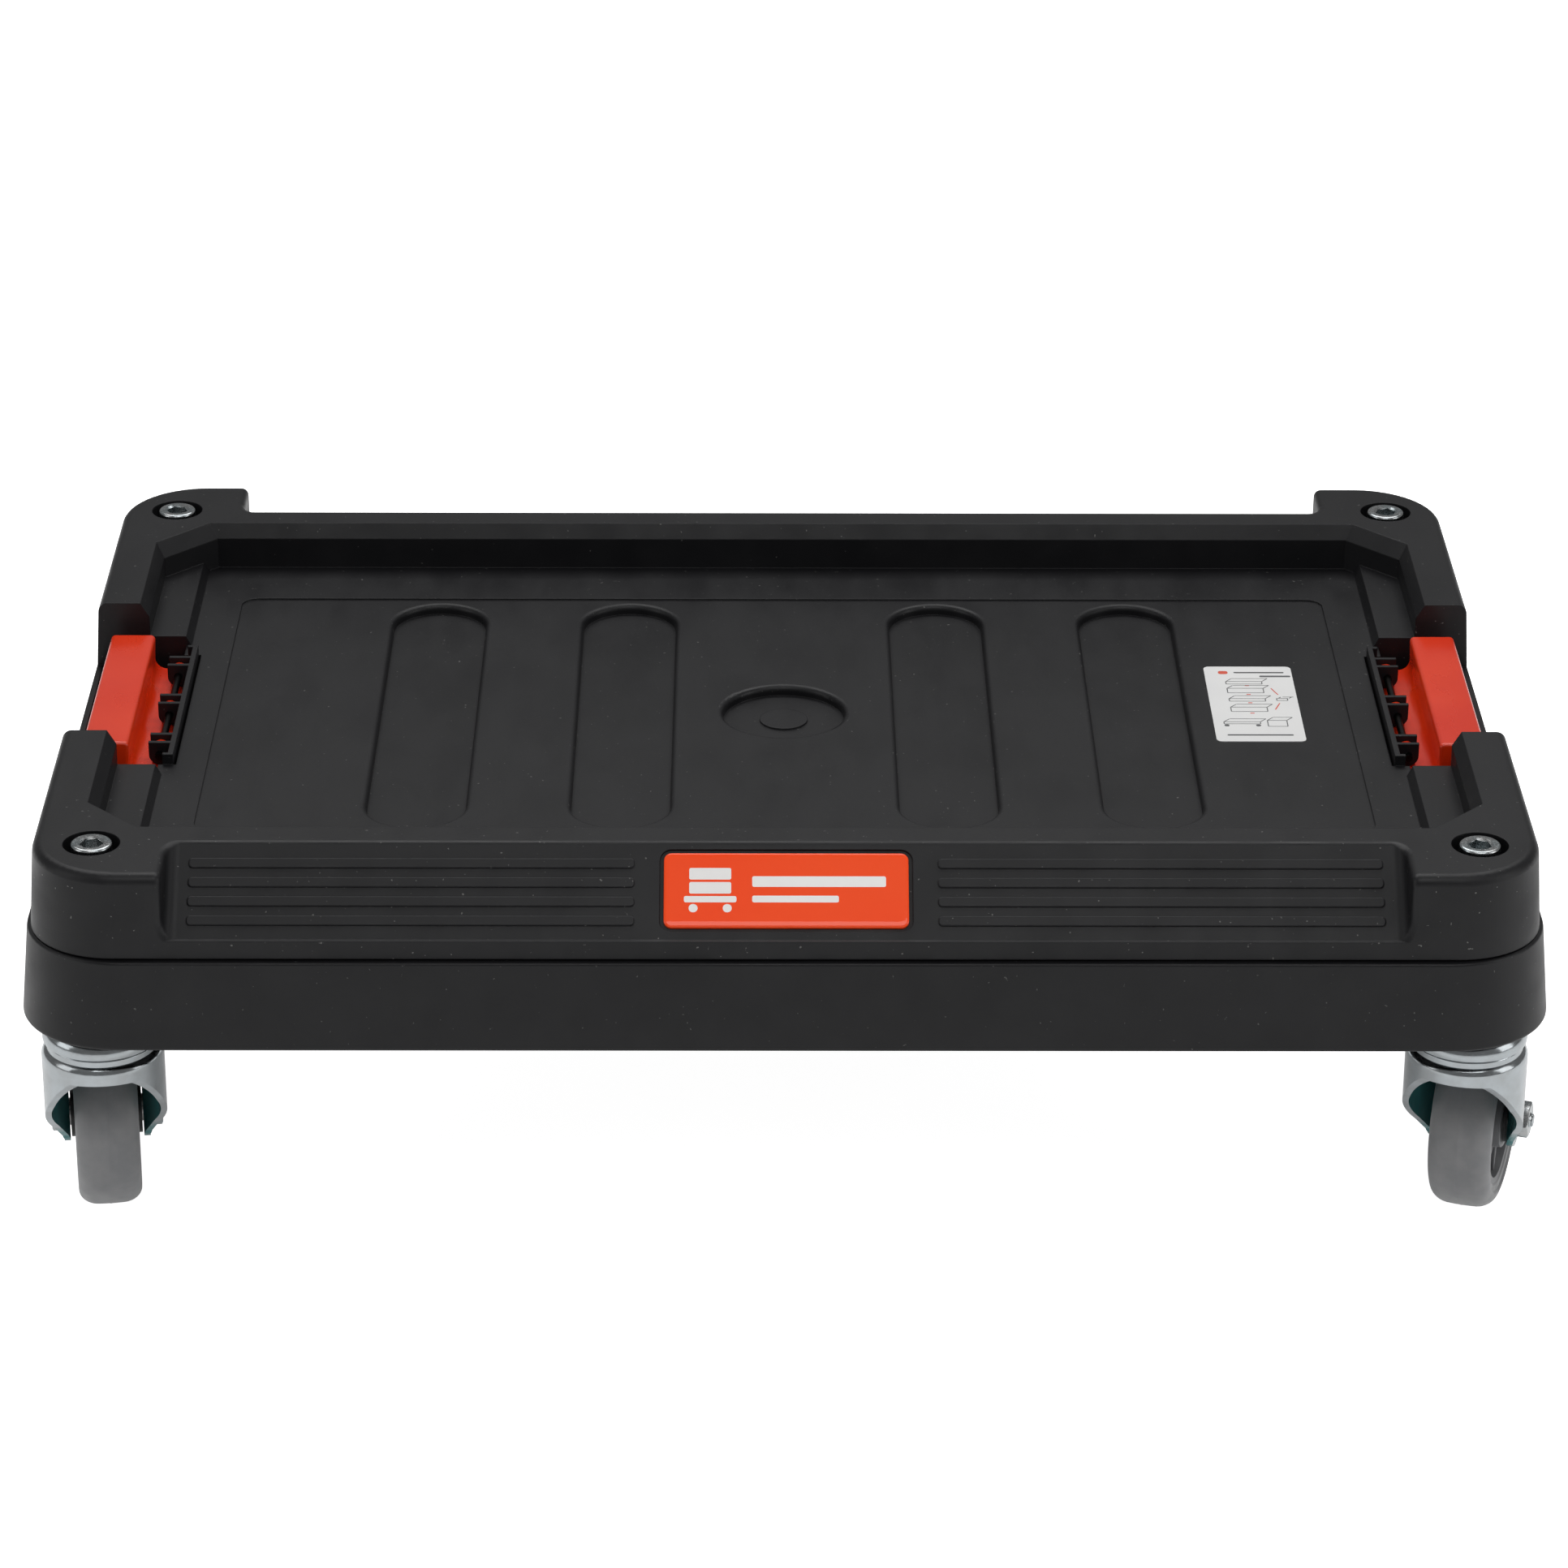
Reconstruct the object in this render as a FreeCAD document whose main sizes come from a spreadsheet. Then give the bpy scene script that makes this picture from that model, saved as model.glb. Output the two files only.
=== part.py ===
import FreeCAD, Part
import math
import os
import re
import Sketcher

# Transport dolly for stacking toolboxes: a moulded tray deck clamped on a moulded base frame by four
# long cap screws, each of which also holds a swivel castor. Two flip-up latches hold the lowest box.
# Millimetres. +Z is up, +X is to the right, the badge is on the -Y side, and the floor is z = 0.
# The origin is on the floor, under the middle of the base frame.

doc = FreeCAD.newDocument("TransportDolly")
sizes = doc.addObject("Spreadsheet::Sheet", "Sizes")

# Driving dimensions: name, value, what it is.
DIMENSIONS = [
    ("overall_length", 591.0, "base frame, along X, at its lower edge"),
    ("overall_width", 411.0, "base frame, along Y, at its lower edge"),
    ("frame_height", 36.0, "base frame, lower edge to parting line"),
    ("frame_draft_x", 3.0, "how far the frame's end leans in over its height"),
    ("frame_draft_y", 3.5, "how far the frame's front leans in over its height"),
    ("frame_radius", 40.0, "corner radius of the base frame in plan"),
    ("frame_wall", 3.5, "frame wall"),
    ("frame_overlap", 1.5, "how far the frame hangs below the castor seat"),
    ("frame_edge", 1.2, "rounding of the frame's long edges"),
    ("frame_border_x", 80.5, "frame edge to the middle opening, along X"),
    ("frame_border_y", 80.5, "frame edge to the middle opening, along Y"),
    ("frame_rib_depth", 24.0, "depth of the lattice ribs in the middle opening"),
    ("lattice_columns", 4, "cells of that lattice along X"),
    ("lattice_rows", 3, "cells of that lattice along Y"),
    ("corner_web", 45.0, "bolt to the free end of a web in the frame's corner"),
    ("web_step", 4.0, "castor seat to the lower edge of a web along the frame"),
    ("rib_thickness", 2.4, "every stiffening rib"),
    ("bolt_inset_x", 30.0, "frame edge to castor bolt, along X"),
    ("bolt_inset_y", 36.7, "frame edge to castor bolt, along Y"),
    ("deck_height", 34.5, "parting line to the top of the rim"),
    ("deck_step_x", 4.8, "deck end stands in from the frame's lower edge"),
    ("deck_step_y", 5.8, "deck front stands in from the frame's lower edge"),
    ("deck_draft", 2.1, "how far the deck's side leans in over its height"),
    ("deck_radius", 35.0, "corner radius of the deck in plan"),
    ("deck_edge", 4.0, "rounding round the top of the deck"),
    ("deck_wall", 3.0, "deck wall"),
    ("seam_gap", 0.6, "shadow gap between the skirts of deck and frame"),
    ("tray_depth", 19.5, "rim top to tray floor"),
    ("tray_inset_x", 28.1, "frame edge to the tray's side wall"),
    ("tray_inset_y", 55.0, "frame edge to the tray's front or rear wall"),
    ("tray_chamfer", 3.6, "how much wider the tray is at its mouth"),
    ("tray_chamfer_depth", 6.0, "height of that sloped mouth"),
    ("tray_corner_x", 21.0, "cut tray corner, along X"),
    ("tray_corner_y", 22.0, "cut tray corner, along Y"),
    ("shelf_height", 4.5, "raised shelf along the tray's ends, above the floor"),
    ("shelf_width", 15.1, "flat of that shelf"),
    ("shelf_slope", 2.3, "run of the slope from shelf to floor"),
    ("panel_depth", 0.8, "sunk middle panel of the tray floor"),
    ("panel_margin_x", 62.8, "frame edge to the sunk panel, along X"),
    ("panel_margin_y", 89.5, "frame edge to the sunk panel, along Y"),
    ("panel_radius", 7.0, "corner radius of the sunk panel"),
    ("slot_inner", 65.3, "inner pair of slots, from the middle"),
    ("slot_outer", 146.5, "outer pair of slots, from the middle"),
    ("slot_width", 39.4, "width of a slot between its walls"),
    ("slot_margin", 5.4, "panel edge to the end of a slot"),
    ("slot_depth", 4.3, "depth of a slot below the panel"),
    ("slot_edge", 2.3, "rounded lip of slots and dish"),
    ("dish_radius", 25.1, "round dish in the middle"),
    ("dish_button", 9.85, "raised button in the dish"),
    ("button_height", 0.8, "height of that button"),
    ("recess_inset", 59.0, "frame edge to the end of the sloped front panel"),
    ("recess_top", 38.5, "frame edge to the top of the sloped panel, along Y"),
    ("recess_foot", 8.0, "frame edge to the foot of the sloped panel, along Y"),
    ("recess_height", 26.6, "drop of the sloped panel"),
    ("recess_round", 5.0, "rounding where the panel meets the corner posts"),
    ("post_edge", 3.0, "rounding of the corner posts beside the panel"),
    ("grip_count", 4, "raised grip lines in each group"),
    ("grip_first", 9.2, "rim to the middle of the first grip line, along the slope"),
    ("grip_pitch", 7.9, "spacing of the grip lines along the slope"),
    ("grip_width", 4.0, "width of a grip line"),
    ("grip_proud", 0.8, "how far a grip line stands proud"),
    ("grip_root", 1.0, "how deep it is rooted in the panel"),
    ("grip_margin", 8.5, "panel end to a grip line"),
    ("grip_clear", 11.2, "badge to a grip line"),
    ("grip_round", 1.6, "corner radius of a grip line"),
    ("grip_edge", 0.4, "rounding of a grip line's top edge"),
    ("badge_length", 93.4, "badge plate, along X"),
    ("badge_width", 30.8, "badge plate, along the slope"),
    ("badge_thickness", 1.8, "badge plate at its middle"),
    ("badge_offset", 20.2, "rim to the middle of the badge, along the slope"),
    ("badge_radius", 3.0, "corner radius of the badge"),
    ("badge_pocket", 1.0, "depth of the badge pocket"),
    ("badge_gap", 1.6, "gap round the badge"),
    ("label_length", 75.4, "sticker, along Y"),
    ("label_width", 36.6, "sticker, along X"),
    ("label_x", 194.8, "middle of the sticker"),
    ("label_y", 7.6, "middle of the sticker"),
    ("label_thickness", 0.3, "sticker"),
    ("well_half", 64.5, "half length of a latch well, along Y"),
    ("well_inner_half", 55.0, "half length of the fin bar"),
    ("well_floor", 3.0, "height of the well floor above the parting line"),
    ("well_wall_height", 6.0, "top of the low outer wall above the parting line"),
    ("well_wall_inset", 7.5, "frame edge to the inside of the low outer wall"),
    ("bar_thickness", 2.2, "wall that carries the fins"),
    ("bar_inset", 47.1, "frame edge to the outside of that wall"),
    ("fin_length", 8.8, "how far a fin stands out of the wall"),
    ("fin_thickness", 1.8, "fin"),
    ("fin_pitch", 38.8, "spacing of the fin pairs"),
    ("fin_half_gap", 4.0, "middle of a pair to the middle of a fin"),
    ("pin_radius", 1.5, "latch hinge pin"),
    ("pin_length", 92.0, "latch hinge pin"),
    ("pin_reach", 4.5, "wall to the hinge axis"),
    ("pin_drop", 20.4, "rim top to the hinge axis"),
    ("running_gap", 0.08, "radial clearance of a shaft in its bore"),
    ("latch_half", 54.7, "half length of a latch"),
    ("latch_inner", 11.1, "hinge axis to the inner face of the grip block"),
    ("latch_outer", 29.6, "hinge axis to the outer face of the grip block"),
    ("latch_top", 10.4, "hinge axis to the top of the grip block"),
    ("latch_bottom", 7.8, "hinge axis to the underside of the latch"),
    ("latch_heel", 2.0, "hinge axis to the heel of the latch's foot"),
    ("latch_plate", 3.0, "thickness of the latch's foot plate"),
    ("latch_wall", 2.6, "wall of the hollow grip block"),
    ("latch_edge", 1.5, "rounding of the grip block"),
    ("knuckle_radius", 3.4, "latch knuckle round the pin"),
    ("side_gap", 0.4, "gap between a fin and a knuckle"),
    ("latch_sweep_in", 3.0, "reach of the sweep from the foot up to the grip block"),
    ("latch_sweep_out", 2.0, "how far the sweep cuts in under the grip block"),
    ("latch_sweep_rise", 5.0, "height of that sweep"),
    ("small_edge", 0.8, "rounding of a bolt head's and a fork track's edge"),
    ("small_chamfer", 1.5, "chamfer of castor head, hub and rim"),
    ("hollow_inset", 0.6, "extra wall round the tray inside the deck"),
    ("slope_inset", 0.9, "extra wall behind the sloped panel at mid height"),
    ("skirt_inset", 1.7, "how much nearer the hollow comes to the skirt"),
    ("corner_inset", 9.0, "hollow of a tray corner, along the side"),
    ("corner_start", 5.0, "hollow of a tray corner, along the end"),
    ("boss_radius", 14.0, "bolt boss"),
    ("bolt_radius", 5.0, "M10 cap screw"),
    ("bolt_head_radius", 8.0, "its head"),
    ("bolt_head_height", 10.0, "its head"),
    ("bolt_proud", 0.5, "how far the head stands above the rim"),
    ("bolt_socket", 4.6, "hexagon socket, across corners, radius"),
    ("bolt_socket_depth", 5.0, "hexagon socket"),
    ("bolt_hole_gap", 0.5, "clearance of the bolt in the mouldings"),
    ("counterbore_radius", 11.0, "hole for the bolt head"),
    ("washer_radius", 10.0, "washer under the bolt head"),
    ("washer_thickness", 2.0, "washer under the bolt head"),
    ("nut_radius", 9.2, "M10 locknut, across corners, radius"),
    ("nut_height", 7.9, "M10 locknut"),
    ("bolt_end", 1.0, "bolt beyond the locknut"),
    ("wheel_diameter", 75.0, "castor wheel over its tyre"),
    ("tyre_width", 25.0, "tyre"),
    ("tyre_shoulder", 6.0, "rounding of the tyre's shoulders"),
    ("tyre_thickness", 10.0, "tyre"),
    ("castor_head_height", 25.0, "top of the wheel to the castor seat"),
    ("trail", 30.0, "swivel axis to wheel axle"),
    ("head_radius", 23.0, "castor head"),
    ("head_skirt", 2.7, "wall of the head's skirt"),
    ("head_skirt_depth", 13.2, "depth of that skirt below the seat"),
    ("head_plate", 3.0, "castor head plate"),
    ("head_track", 7.1, "seat to the upper ball track"),
    ("ball_radius", 3.15, "bearing ball"),
    ("ball_pitch", 16.2, "radius of the ring of balls"),
    ("ball_count", 14, "balls in one ring"),
    ("part_gap", 0.3, "clearance between a fixed and a turning piece"),
    ("fork_crown_drop", 16.0, "seat to the top of the fork crown"),
    ("fork_radius", 23.75, "fork crown"),
    ("fork_sheet", 2.5, "pressed steel of the fork"),
    ("fork_shoulder", 4.0, "rounding of the fork crown"),
    ("fork_back", 5.0, "depth of the crown's rim behind the wheel"),
    ("fork_track_radius", 21.8, "raised ball track on the fork"),
    ("fork_track_height", 2.2, "raised ball track on the fork"),
    ("fork_half_gap", 14.5, "half the clear width between the fork's cheeks"),
    ("fork_lug", 11.5, "rounded end of a cheek round the axle"),
    ("fork_flat", 8.5, "flat of a cheek from the axle towards the crown"),
    ("fork_front_drop", 7.6, "depth of the crown's rim over the front of the wheel"),
    ("fork_arch_reach", 19.5, "swivel axis to the front corner of the arch"),
    ("fork_arch_drop", 8.4, "crown top to that corner"),
    ("fork_leg_reach", 7.5, "swivel axis to the front edge of a leg"),
    ("fork_leg_drop", 24.0, "crown top to that edge"),
    ("fork_arch_round", 9.0, "rounding of the arch in front of the wheel"),
    ("kingpin_bore_gap", 0.3, "clearance of the bolt in the hollow kingpin"),
    ("kingpin_radius", 8.0, "hollow kingpin"),
    ("kingpin_flange", 17.0, "its flange under the fork crown"),
    ("kingpin_flange_height", 2.3, "its flange under the fork crown"),
    ("axle_radius", 4.0, "M8 axle bolt"),
    ("axle_head_radius", 7.3, "its hexagon head and nut, across corners, radius"),
    ("axle_head_height", 4.6, "its hexagon head"),
    ("axle_nut_height", 5.2, "axle nut"),
    ("axle_end", 1.3, "axle bolt beyond its nut"),
    ("sleeve_radius", 5.5, "spacer sleeve on the axle bolt"),
    ("bush_radius", 8.0, "wheel bush in the hub"),
    ("bush_flange", 10.0, "its flange"),
    ("bush_flange_width", 1.5, "its flange"),
    ("hub_radius", 12.5, "hub of the wheel core"),
    ("hub_half", 12.5, "half width of the hub"),
    ("core_web", 5.0, "half width of the core's web"),
    ("rim_wall", 3.0, "rim of the wheel core"),
    ("rim_half", 11.0, "half width of the rim"),
]
for row, (alias, number, meaning) in enumerate(DIMENSIONS, start=1):
    sizes.set(f"A{row}", meaning)
    sizes.set(f"B{row}", str(number))
    sizes.setAlias(f"B{row}", alias)

# Places that follow from the driving dimensions, kept in the sheet as formulas.
DERIVED = [
    ("half_x", "overall_length / 2"),
    ("half_y", "overall_width / 2"),
    ("wheel_radius", "wheel_diameter / 2"),
    ("seat_z", "wheel_diameter + castor_head_height"),
    ("frame_low", "seat_z - frame_overlap"),
    ("seam_z", "frame_low + frame_height"),
    ("top_z", "seam_z + deck_height"),
    ("floor_z", "top_z - tray_depth"),
    ("panel_z", "floor_z - panel_depth"),
    ("bolt_x", "half_x - bolt_inset_x"),
    ("bolt_y", "half_y - bolt_inset_y"),
    ("tray_x", "half_x - tray_inset_x"),
    ("tray_y", "half_y - tray_inset_y"),
    ("panel_x", "half_x - panel_margin_x"),
    ("panel_y", "half_y - panel_margin_y"),
    ("deck_x", "half_x - deck_step_x"),
    ("deck_y", "half_y - deck_step_y"),
    ("recess_x", "half_x - recess_inset"),
    ("slope_top_y", "half_y - recess_top"),
    ("slope_foot_y", "half_y - recess_foot"),
    ("slope_angle", "atan(recess_height / (slope_foot_y - slope_top_y))"),
    ("slope_length", "recess_height / sin(slope_angle)"),
    ("well_wall_x", "half_x - well_wall_inset"),
    ("bar_x", "half_x - bar_inset"),
    ("pin_x", "bar_x + pin_reach"),
    ("pin_z", "top_z - pin_drop"),
    ("crown_z", "seat_z - fork_crown_drop"),
    ("washer_z", "top_z + bolt_proud - bolt_head_height - washer_thickness"),
    ("kingpin_low", "crown_z - fork_sheet - part_gap - kingpin_flange_height"),
    ("nut_low", "kingpin_low - nut_height"),
    ("axle_side", "fork_half_gap + fork_sheet"),
    ("core_radius", "wheel_radius - tyre_thickness"),
]
NAMES = {alias for alias, _, _ in DIMENSIONS} | {alias for alias, _ in DERIVED}
WORD = re.compile(r"[a-z][a-z_]*[a-z]")


def cell(expression):
    """The expression with the sheet's name in front of each of its aliases."""
    return WORD.sub(lambda found: "Sizes." + found[0] if found[0] in NAMES else found[0], expression)


for row, (alias, formula) in enumerate(DERIVED, start=len(DIMENSIONS) + 2):
    sizes.set(f"A{row}", alias.replace("_", " "))
    sizes.set(f"B{row}", "=" + formula)
    sizes.setAlias(f"B{row}", alias)
doc.recompute()

X, Y, Z = FreeCAD.Vector(1, 0, 0), FreeCAD.Vector(0, 1, 0), FreeCAD.Vector(0, 0, 1)
ORIGIN = FreeCAD.Vector(0, 0, 0)
SIDES = {"left": "-1", "right": "1"}
ENDS = {"front": "-1", "rear": "1"}
# How a sketch drawn flat is stood up, and the way its prism grows.
PLANES = {
    "XY": (FreeCAD.Rotation(), Z, "z"),
    "XZ": (FreeCAD.Rotation(X, 90), Y, "y"),
    "YZ": (FreeCAD.Rotation(FreeCAD.Vector(1, 1, 1), 120), X, "x"),
}
NODES = []


def value(expression):
    """What an expression of the sheet's aliases comes to, as a number."""
    result = sizes.evalExpression(cell(str(expression)))
    return float(getattr(result, "Value", result))


def bind(item, **expressions):
    """Ties properties of a document object to the sheet; two underscores stand for a dot."""
    for name, expression in expressions.items():
        item.setExpression(name.replace("__", "."), cell(str(expression)))
    return item


def put(item, x="0", y="0", z="0"):
    return bind(item, Placement__Base__x=x, Placement__Base__y=y, Placement__Base__z=z)


def block(name, x_span, y_span, z_span):
    """A box between two places on each axis."""
    item = doc.addObject("Part::Box", name)
    spans = dict(zip(("Length", "Width", "Height"), (x_span, y_span, z_span)))
    bind(item, **{key: f"({high}) - ({low})" for key, (low, high) in spans.items()})
    return put(item, x_span[0], y_span[0], z_span[0])


def both(half):
    """The span from -half to +half."""
    return f"-({half})", half


def mirrored_span(sign, low, high):
    """A span on one side of the middle."""
    return (low, high) if sign == "1" else (f"-({high})", f"-({low})")


def cylinder(name, radius, x, y, z_span):
    item = doc.addObject("Part::Cylinder", name)
    bind(item, Radius=radius, Height=f"({z_span[1]}) - ({z_span[0]})")
    return put(item, x, y, z_span[0])


def cross_rod(name, radius, x_span, y, z):
    """A cylinder that lies along X."""
    item = doc.addObject("Part::Cylinder", name)
    item.Placement = FreeCAD.Placement(ORIGIN, FreeCAD.Rotation(Y, 90))
    bind(item, Radius=radius, Height=f"({x_span[1]}) - ({x_span[0]})")
    return put(item, x_span[0], y, z)


def long_rod(name, radius, x, y_span, z):
    """A cylinder that lies along Y."""
    item = doc.addObject("Part::Cylinder", name)
    item.Placement = FreeCAD.Placement(ORIGIN, FreeCAD.Rotation(X, -90))
    bind(item, Radius=radius, Height=f"({y_span[1]}) - ({y_span[0]})")
    return put(item, x, y_span[0], z)


def fuse(name, items):
    item = doc.addObject("Part::MultiFuse", name)
    item.Shapes = items
    item.Refine = True
    return item


def cut(name, base, tools):
    item = doc.addObject("Part::Cut", name)
    item.Base = base
    item.Tool = tools[0] if len(tools) == 1 else fuse(name + "Tools", tools)
    item.Refine = True
    return item


def common(name, base, tool):
    item = doc.addObject("Part::Common", name)
    item.Base = base
    item.Tool = tool
    item.Refine = True
    return item


def group(name, items):
    item = doc.addObject("Part::Compound", name)
    item.Links = items
    return item


def outline(name, plane, points, level="0"):
    """A closed sketch through points, every corner tied to the sheet."""
    turn, _, axis = PLANES[plane]
    sketch = doc.addObject("Sketcher::SketchObject", name)
    sketch.Placement = FreeCAD.Placement(ORIGIN, turn)
    places = [FreeCAD.Vector(value(u), value(v), 0) for u, v in points]
    count = len(points)
    for index in range(count):
        sketch.addGeometry(Part.LineSegment(places[index], places[(index + 1) % count]), False)
    for index in range(count):
        sketch.addConstraint(Sketcher.Constraint("Coincident", index, 2, (index + 1) % count, 1))
    for index, corner in enumerate(points):
        for kind, place, axis_line in zip(("DistanceX", "DistanceY"), corner, (-2, -1)):
            if place == "0":
                sketch.addConstraint(Sketcher.Constraint("PointOnObject", index, 1, axis_line))
                continue
            rule = Sketcher.Constraint(kind, -1, 1, index, 1, value(place))
            number = sketch.addConstraint(rule)
            sketch.setExpression(f"Constraints[{number}]", cell(place))
    return bind(sketch, **{"Placement__Base__" + axis: level})


def prism(name, plane, points, span):
    """A straight prism on an outline."""
    item = doc.addObject("Part::Extrusion", name)
    item.Base = outline(name + "Outline", plane, points, span[0])
    item.DirMode = "Custom"
    item.Dir = PLANES[plane][1]
    item.Solid = True
    return bind(item, LengthFwd=f"({span[1]}) - ({span[0]})")


def lathe(name, points):
    """A turned piece: an outline of (radius, height) swept round the swivel axis."""
    item = doc.addObject("Part::Revolution", name)
    item.Source = outline(name + "Outline", "XZ", points)
    item.Axis = Z
    item.Angle = 360
    item.Solid = True
    return item


def tapered(name, low, high, z_span):
    """A block that is symmetric about the origin and leans in as it rises: half sizes below, above."""
    item = doc.addObject("Part::Wedge", name)
    item.Placement = FreeCAD.Placement(ORIGIN, FreeCAD.Rotation(X, 90))
    bind(item, Xmin=f"-({low[0]})", Xmax=low[0], Zmin=f"-({low[1]})", Zmax=low[1])
    bind(item, X2min=f"-({high[0]})", X2max=high[0], Z2min=f"-({high[1]})", Z2max=high[1])
    bind(item, Ymin="0", Ymax=f"({z_span[1]}) - ({z_span[0]})")
    return put(item, "0", "0", z_span[0])


def rounded(name, base, radius, chosen):
    """Fillets the edges that a test picks; it has to pick some."""
    doc.recompute()
    edges = [number for number, edge in enumerate(base.Shape.Edges, start=1) if chosen(edge)]
    if not edges:
        raise ValueError(f"{name}: no edge to round")
    item = doc.addObject("Part::Fillet", name)
    item.Base = base
    item.Edges = [(number, value(radius), value(radius)) for number in edges]
    return item


def upright(edge):
    """True for an edge that climbs more than it runs."""
    box = edge.BoundBox
    return box.ZLength > max(box.XLength, box.YLength)


def level_at(height):
    """A test for edges that lie level at a height."""
    level = value(height)
    return lambda edge: abs(edge.BoundBox.ZMin - level) < 0.01 and edge.BoundBox.ZLength < 0.01


def node(label, item, mounted_at=None):
    """Names a finished piece; its label is its file's name."""
    item.Label = label
    if mounted_at:
        x, y, turn = mounted_at
        item.Placement = FreeCAD.Placement(ORIGIN, FreeCAD.Rotation(Z, turn))
        put(item, x, y)
    NODES.append(item)
    return item


# ---------------------------------------------------------------- base frame
def rounded_shell(name, low, high, z_span, radius):
    """A drafted block with round corners in plan."""
    return rounded(name, tapered(name + "Block", low, high, z_span), radius, upright)


def base_frame():
    outer = rounded_shell(
        "FrameOuter",
        ("half_x", "half_y"),
        ("half_x - frame_draft_x", "half_y - frame_draft_y"),
        ("frame_low", "seam_z"),
        "frame_radius",
    )
    edges = rounded("FrameEdges", outer, "frame_edge", lambda edge: edge.BoundBox.ZLength < 0.01)
    core = rounded_shell(
        "FrameCore",
        ("half_x - frame_wall", "half_y - frame_wall"),
        ("half_x - frame_wall - frame_draft_x", "half_y - frame_wall - frame_draft_y"),
        ("frame_low - 1", "seam_z - frame_wall"),
        "frame_radius - frame_wall",
    )
    opening_x, opening_y = "half_x - frame_border_x", "half_y - frame_border_y"
    inner_wall = block(
        "FrameInnerWall",
        both(f"{opening_x} + frame_wall"),
        both(f"{opening_y} + frame_wall"),
        ("frame_low - 2", "seam_z"),
    )
    opening = block("FrameOpening", both(opening_x), both(opening_y), ("frame_low - 2", "seam_z + 1"))
    channel = cut("FrameChannel", core, [inner_wall])
    shell = cut("FrameShell", edges, [opening, channel])

    added = []
    rib_low = ("seam_z - frame_rib_depth", "seam_z")
    half_rib = "rib_thickness / 2"
    for number in range(1, int(value("lattice_rows"))):
        place = f"({number} * 2 / lattice_rows - 1) * ({opening_y})"
        span = (f"{place} - {half_rib}", f"{place} + {half_rib}")
        added.append(block("FrameLongRib", both(f"{opening_x} + frame_wall / 2"), span, rib_low))
    webs = []
    for number in range(1, int(value("lattice_columns"))):
        place = f"({number} * 2 / lattice_columns - 1) * ({opening_x})"
        span = (f"{place} - {half_rib}", f"{place} + {half_rib}")
        added.append(block("FrameCrossRib", span, both(f"{opening_y} + frame_wall / 2"), rib_low))
        web_z = ("seat_z + web_step", "seam_z - frame_wall / 2")
        webs.append(block("FrameEdgeWeb", span, both("half_y"), web_z))
    holes = []
    corner_z = ("seat_z + web_step / 4", "seam_z - frame_wall / 2")
    for side in SIDES.values():
        for end in ENDS.values():
            x, y = f"{side} * bolt_x", f"{end} * bolt_y"
            boss_z = ("seat_z", "seam_z - frame_wall / 2")
            added.append(cylinder("FrameBoss", "boss_radius + bolt_hole_gap * 4", x, y, boss_z))
            seat_z = ("seat_z", "seat_z + frame_wall")
            added.append(cylinder("FrameSeat", "head_radius + 2", x, y, seat_z))
            bolt_z = ("frame_low", "seam_z + 1")
            holes.append(cylinder("FrameHole", "bolt_radius + bolt_hole_gap", x, y, bolt_z))
            along_x = mirrored_span(side, "bolt_x - corner_web", "half_x")
            along_y = mirrored_span(end, "bolt_y - corner_web", "half_y")
            webs.append(block("FrameWebX", along_x, (f"{y} - {half_rib}", f"{y} + {half_rib}"), corner_z))
            webs.append(block("FrameWebY", (f"{x} - {half_rib}", f"{x} + {half_rib}"), along_y, corner_z))
    kept_webs = common("FrameWebs", fuse("FrameWebSet", webs), channel)
    whole = fuse("FrameWhole", [shell, kept_webs] + added)
    node("base_frame", cut("BaseFrame", whole, holes))


# ---------------------------------------------------------------- deck
def octagon(half_x, half_y):
    """A rectangle with its four corners cut off, as a list of corners."""
    near_x, near_y = f"({half_x}) - tray_corner_x", f"({half_y}) - tray_corner_y"
    quarter = [(half_x, near_y), (near_x, half_y)]
    mirrored = [(f"-({x})", y) for x, y in reversed(quarter)]
    lower = [(x, f"-({y})") for x, y in reversed(quarter + mirrored)]
    return quarter + mirrored + lower


def tray_mouth():
    """The sloped mouth at the top of the tray."""
    item = doc.addObject("Part::Loft", "TrayMouth")
    low = octagon("tray_x", "tray_y")
    high = octagon("tray_x + tray_chamfer", "tray_y + tray_chamfer")
    item.Sections = [
        outline("MouthLow", "XY", low, "top_z - tray_chamfer_depth"),
        outline("MouthHigh", "XY", high, "top_z"),
    ]
    item.Solid = True
    item.Ruled = True
    return item


def stadium(name, width, half_length, x, z_span):
    """A block along Y with round ends."""
    straight = f"({half_length}) - ({width}) / 2"
    parts = [block(name + "Body", (f"{x} - ({width}) / 2", f"{x} + ({width}) / 2"), both(straight), z_span)]
    for end in ENDS.values():
        parts.append(cylinder(name + "End", f"({width}) / 2", x, f"{end} * ({straight})", z_span))
    return fuse(name, parts)


def sloped(name, x_span, along, out_span, end):
    """A block that lies on a sloped panel; along is measured down the slope from the rim."""
    item = doc.addObject("Part::Box", name)
    turn = value("slope_angle") if end == "1" else 180 - value("slope_angle")
    item.Placement = FreeCAD.Placement(ORIGIN, FreeCAD.Rotation(X, -turn))
    low, high = out_span if end == "1" else (f"-({out_span[1]})", f"-({out_span[0]})")
    bind(item, Length=f"({x_span[1]}) - ({x_span[0]})", Width=f"({along[1]}) - ({along[0]})")
    bind(item, Height=f"({high}) - ({low})")
    start = f"({along[0]})"
    out = f"({out_span[0]})" if end == "1" else f"({out_span[1]})"
    y = f"{end} * (slope_top_y + {start} * cos(slope_angle) + ({out}) * sin(slope_angle))"
    z = f"top_z - {start} * sin(slope_angle) + ({out}) * cos(slope_angle)"
    return put(item, x_span[0], y, z)


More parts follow.
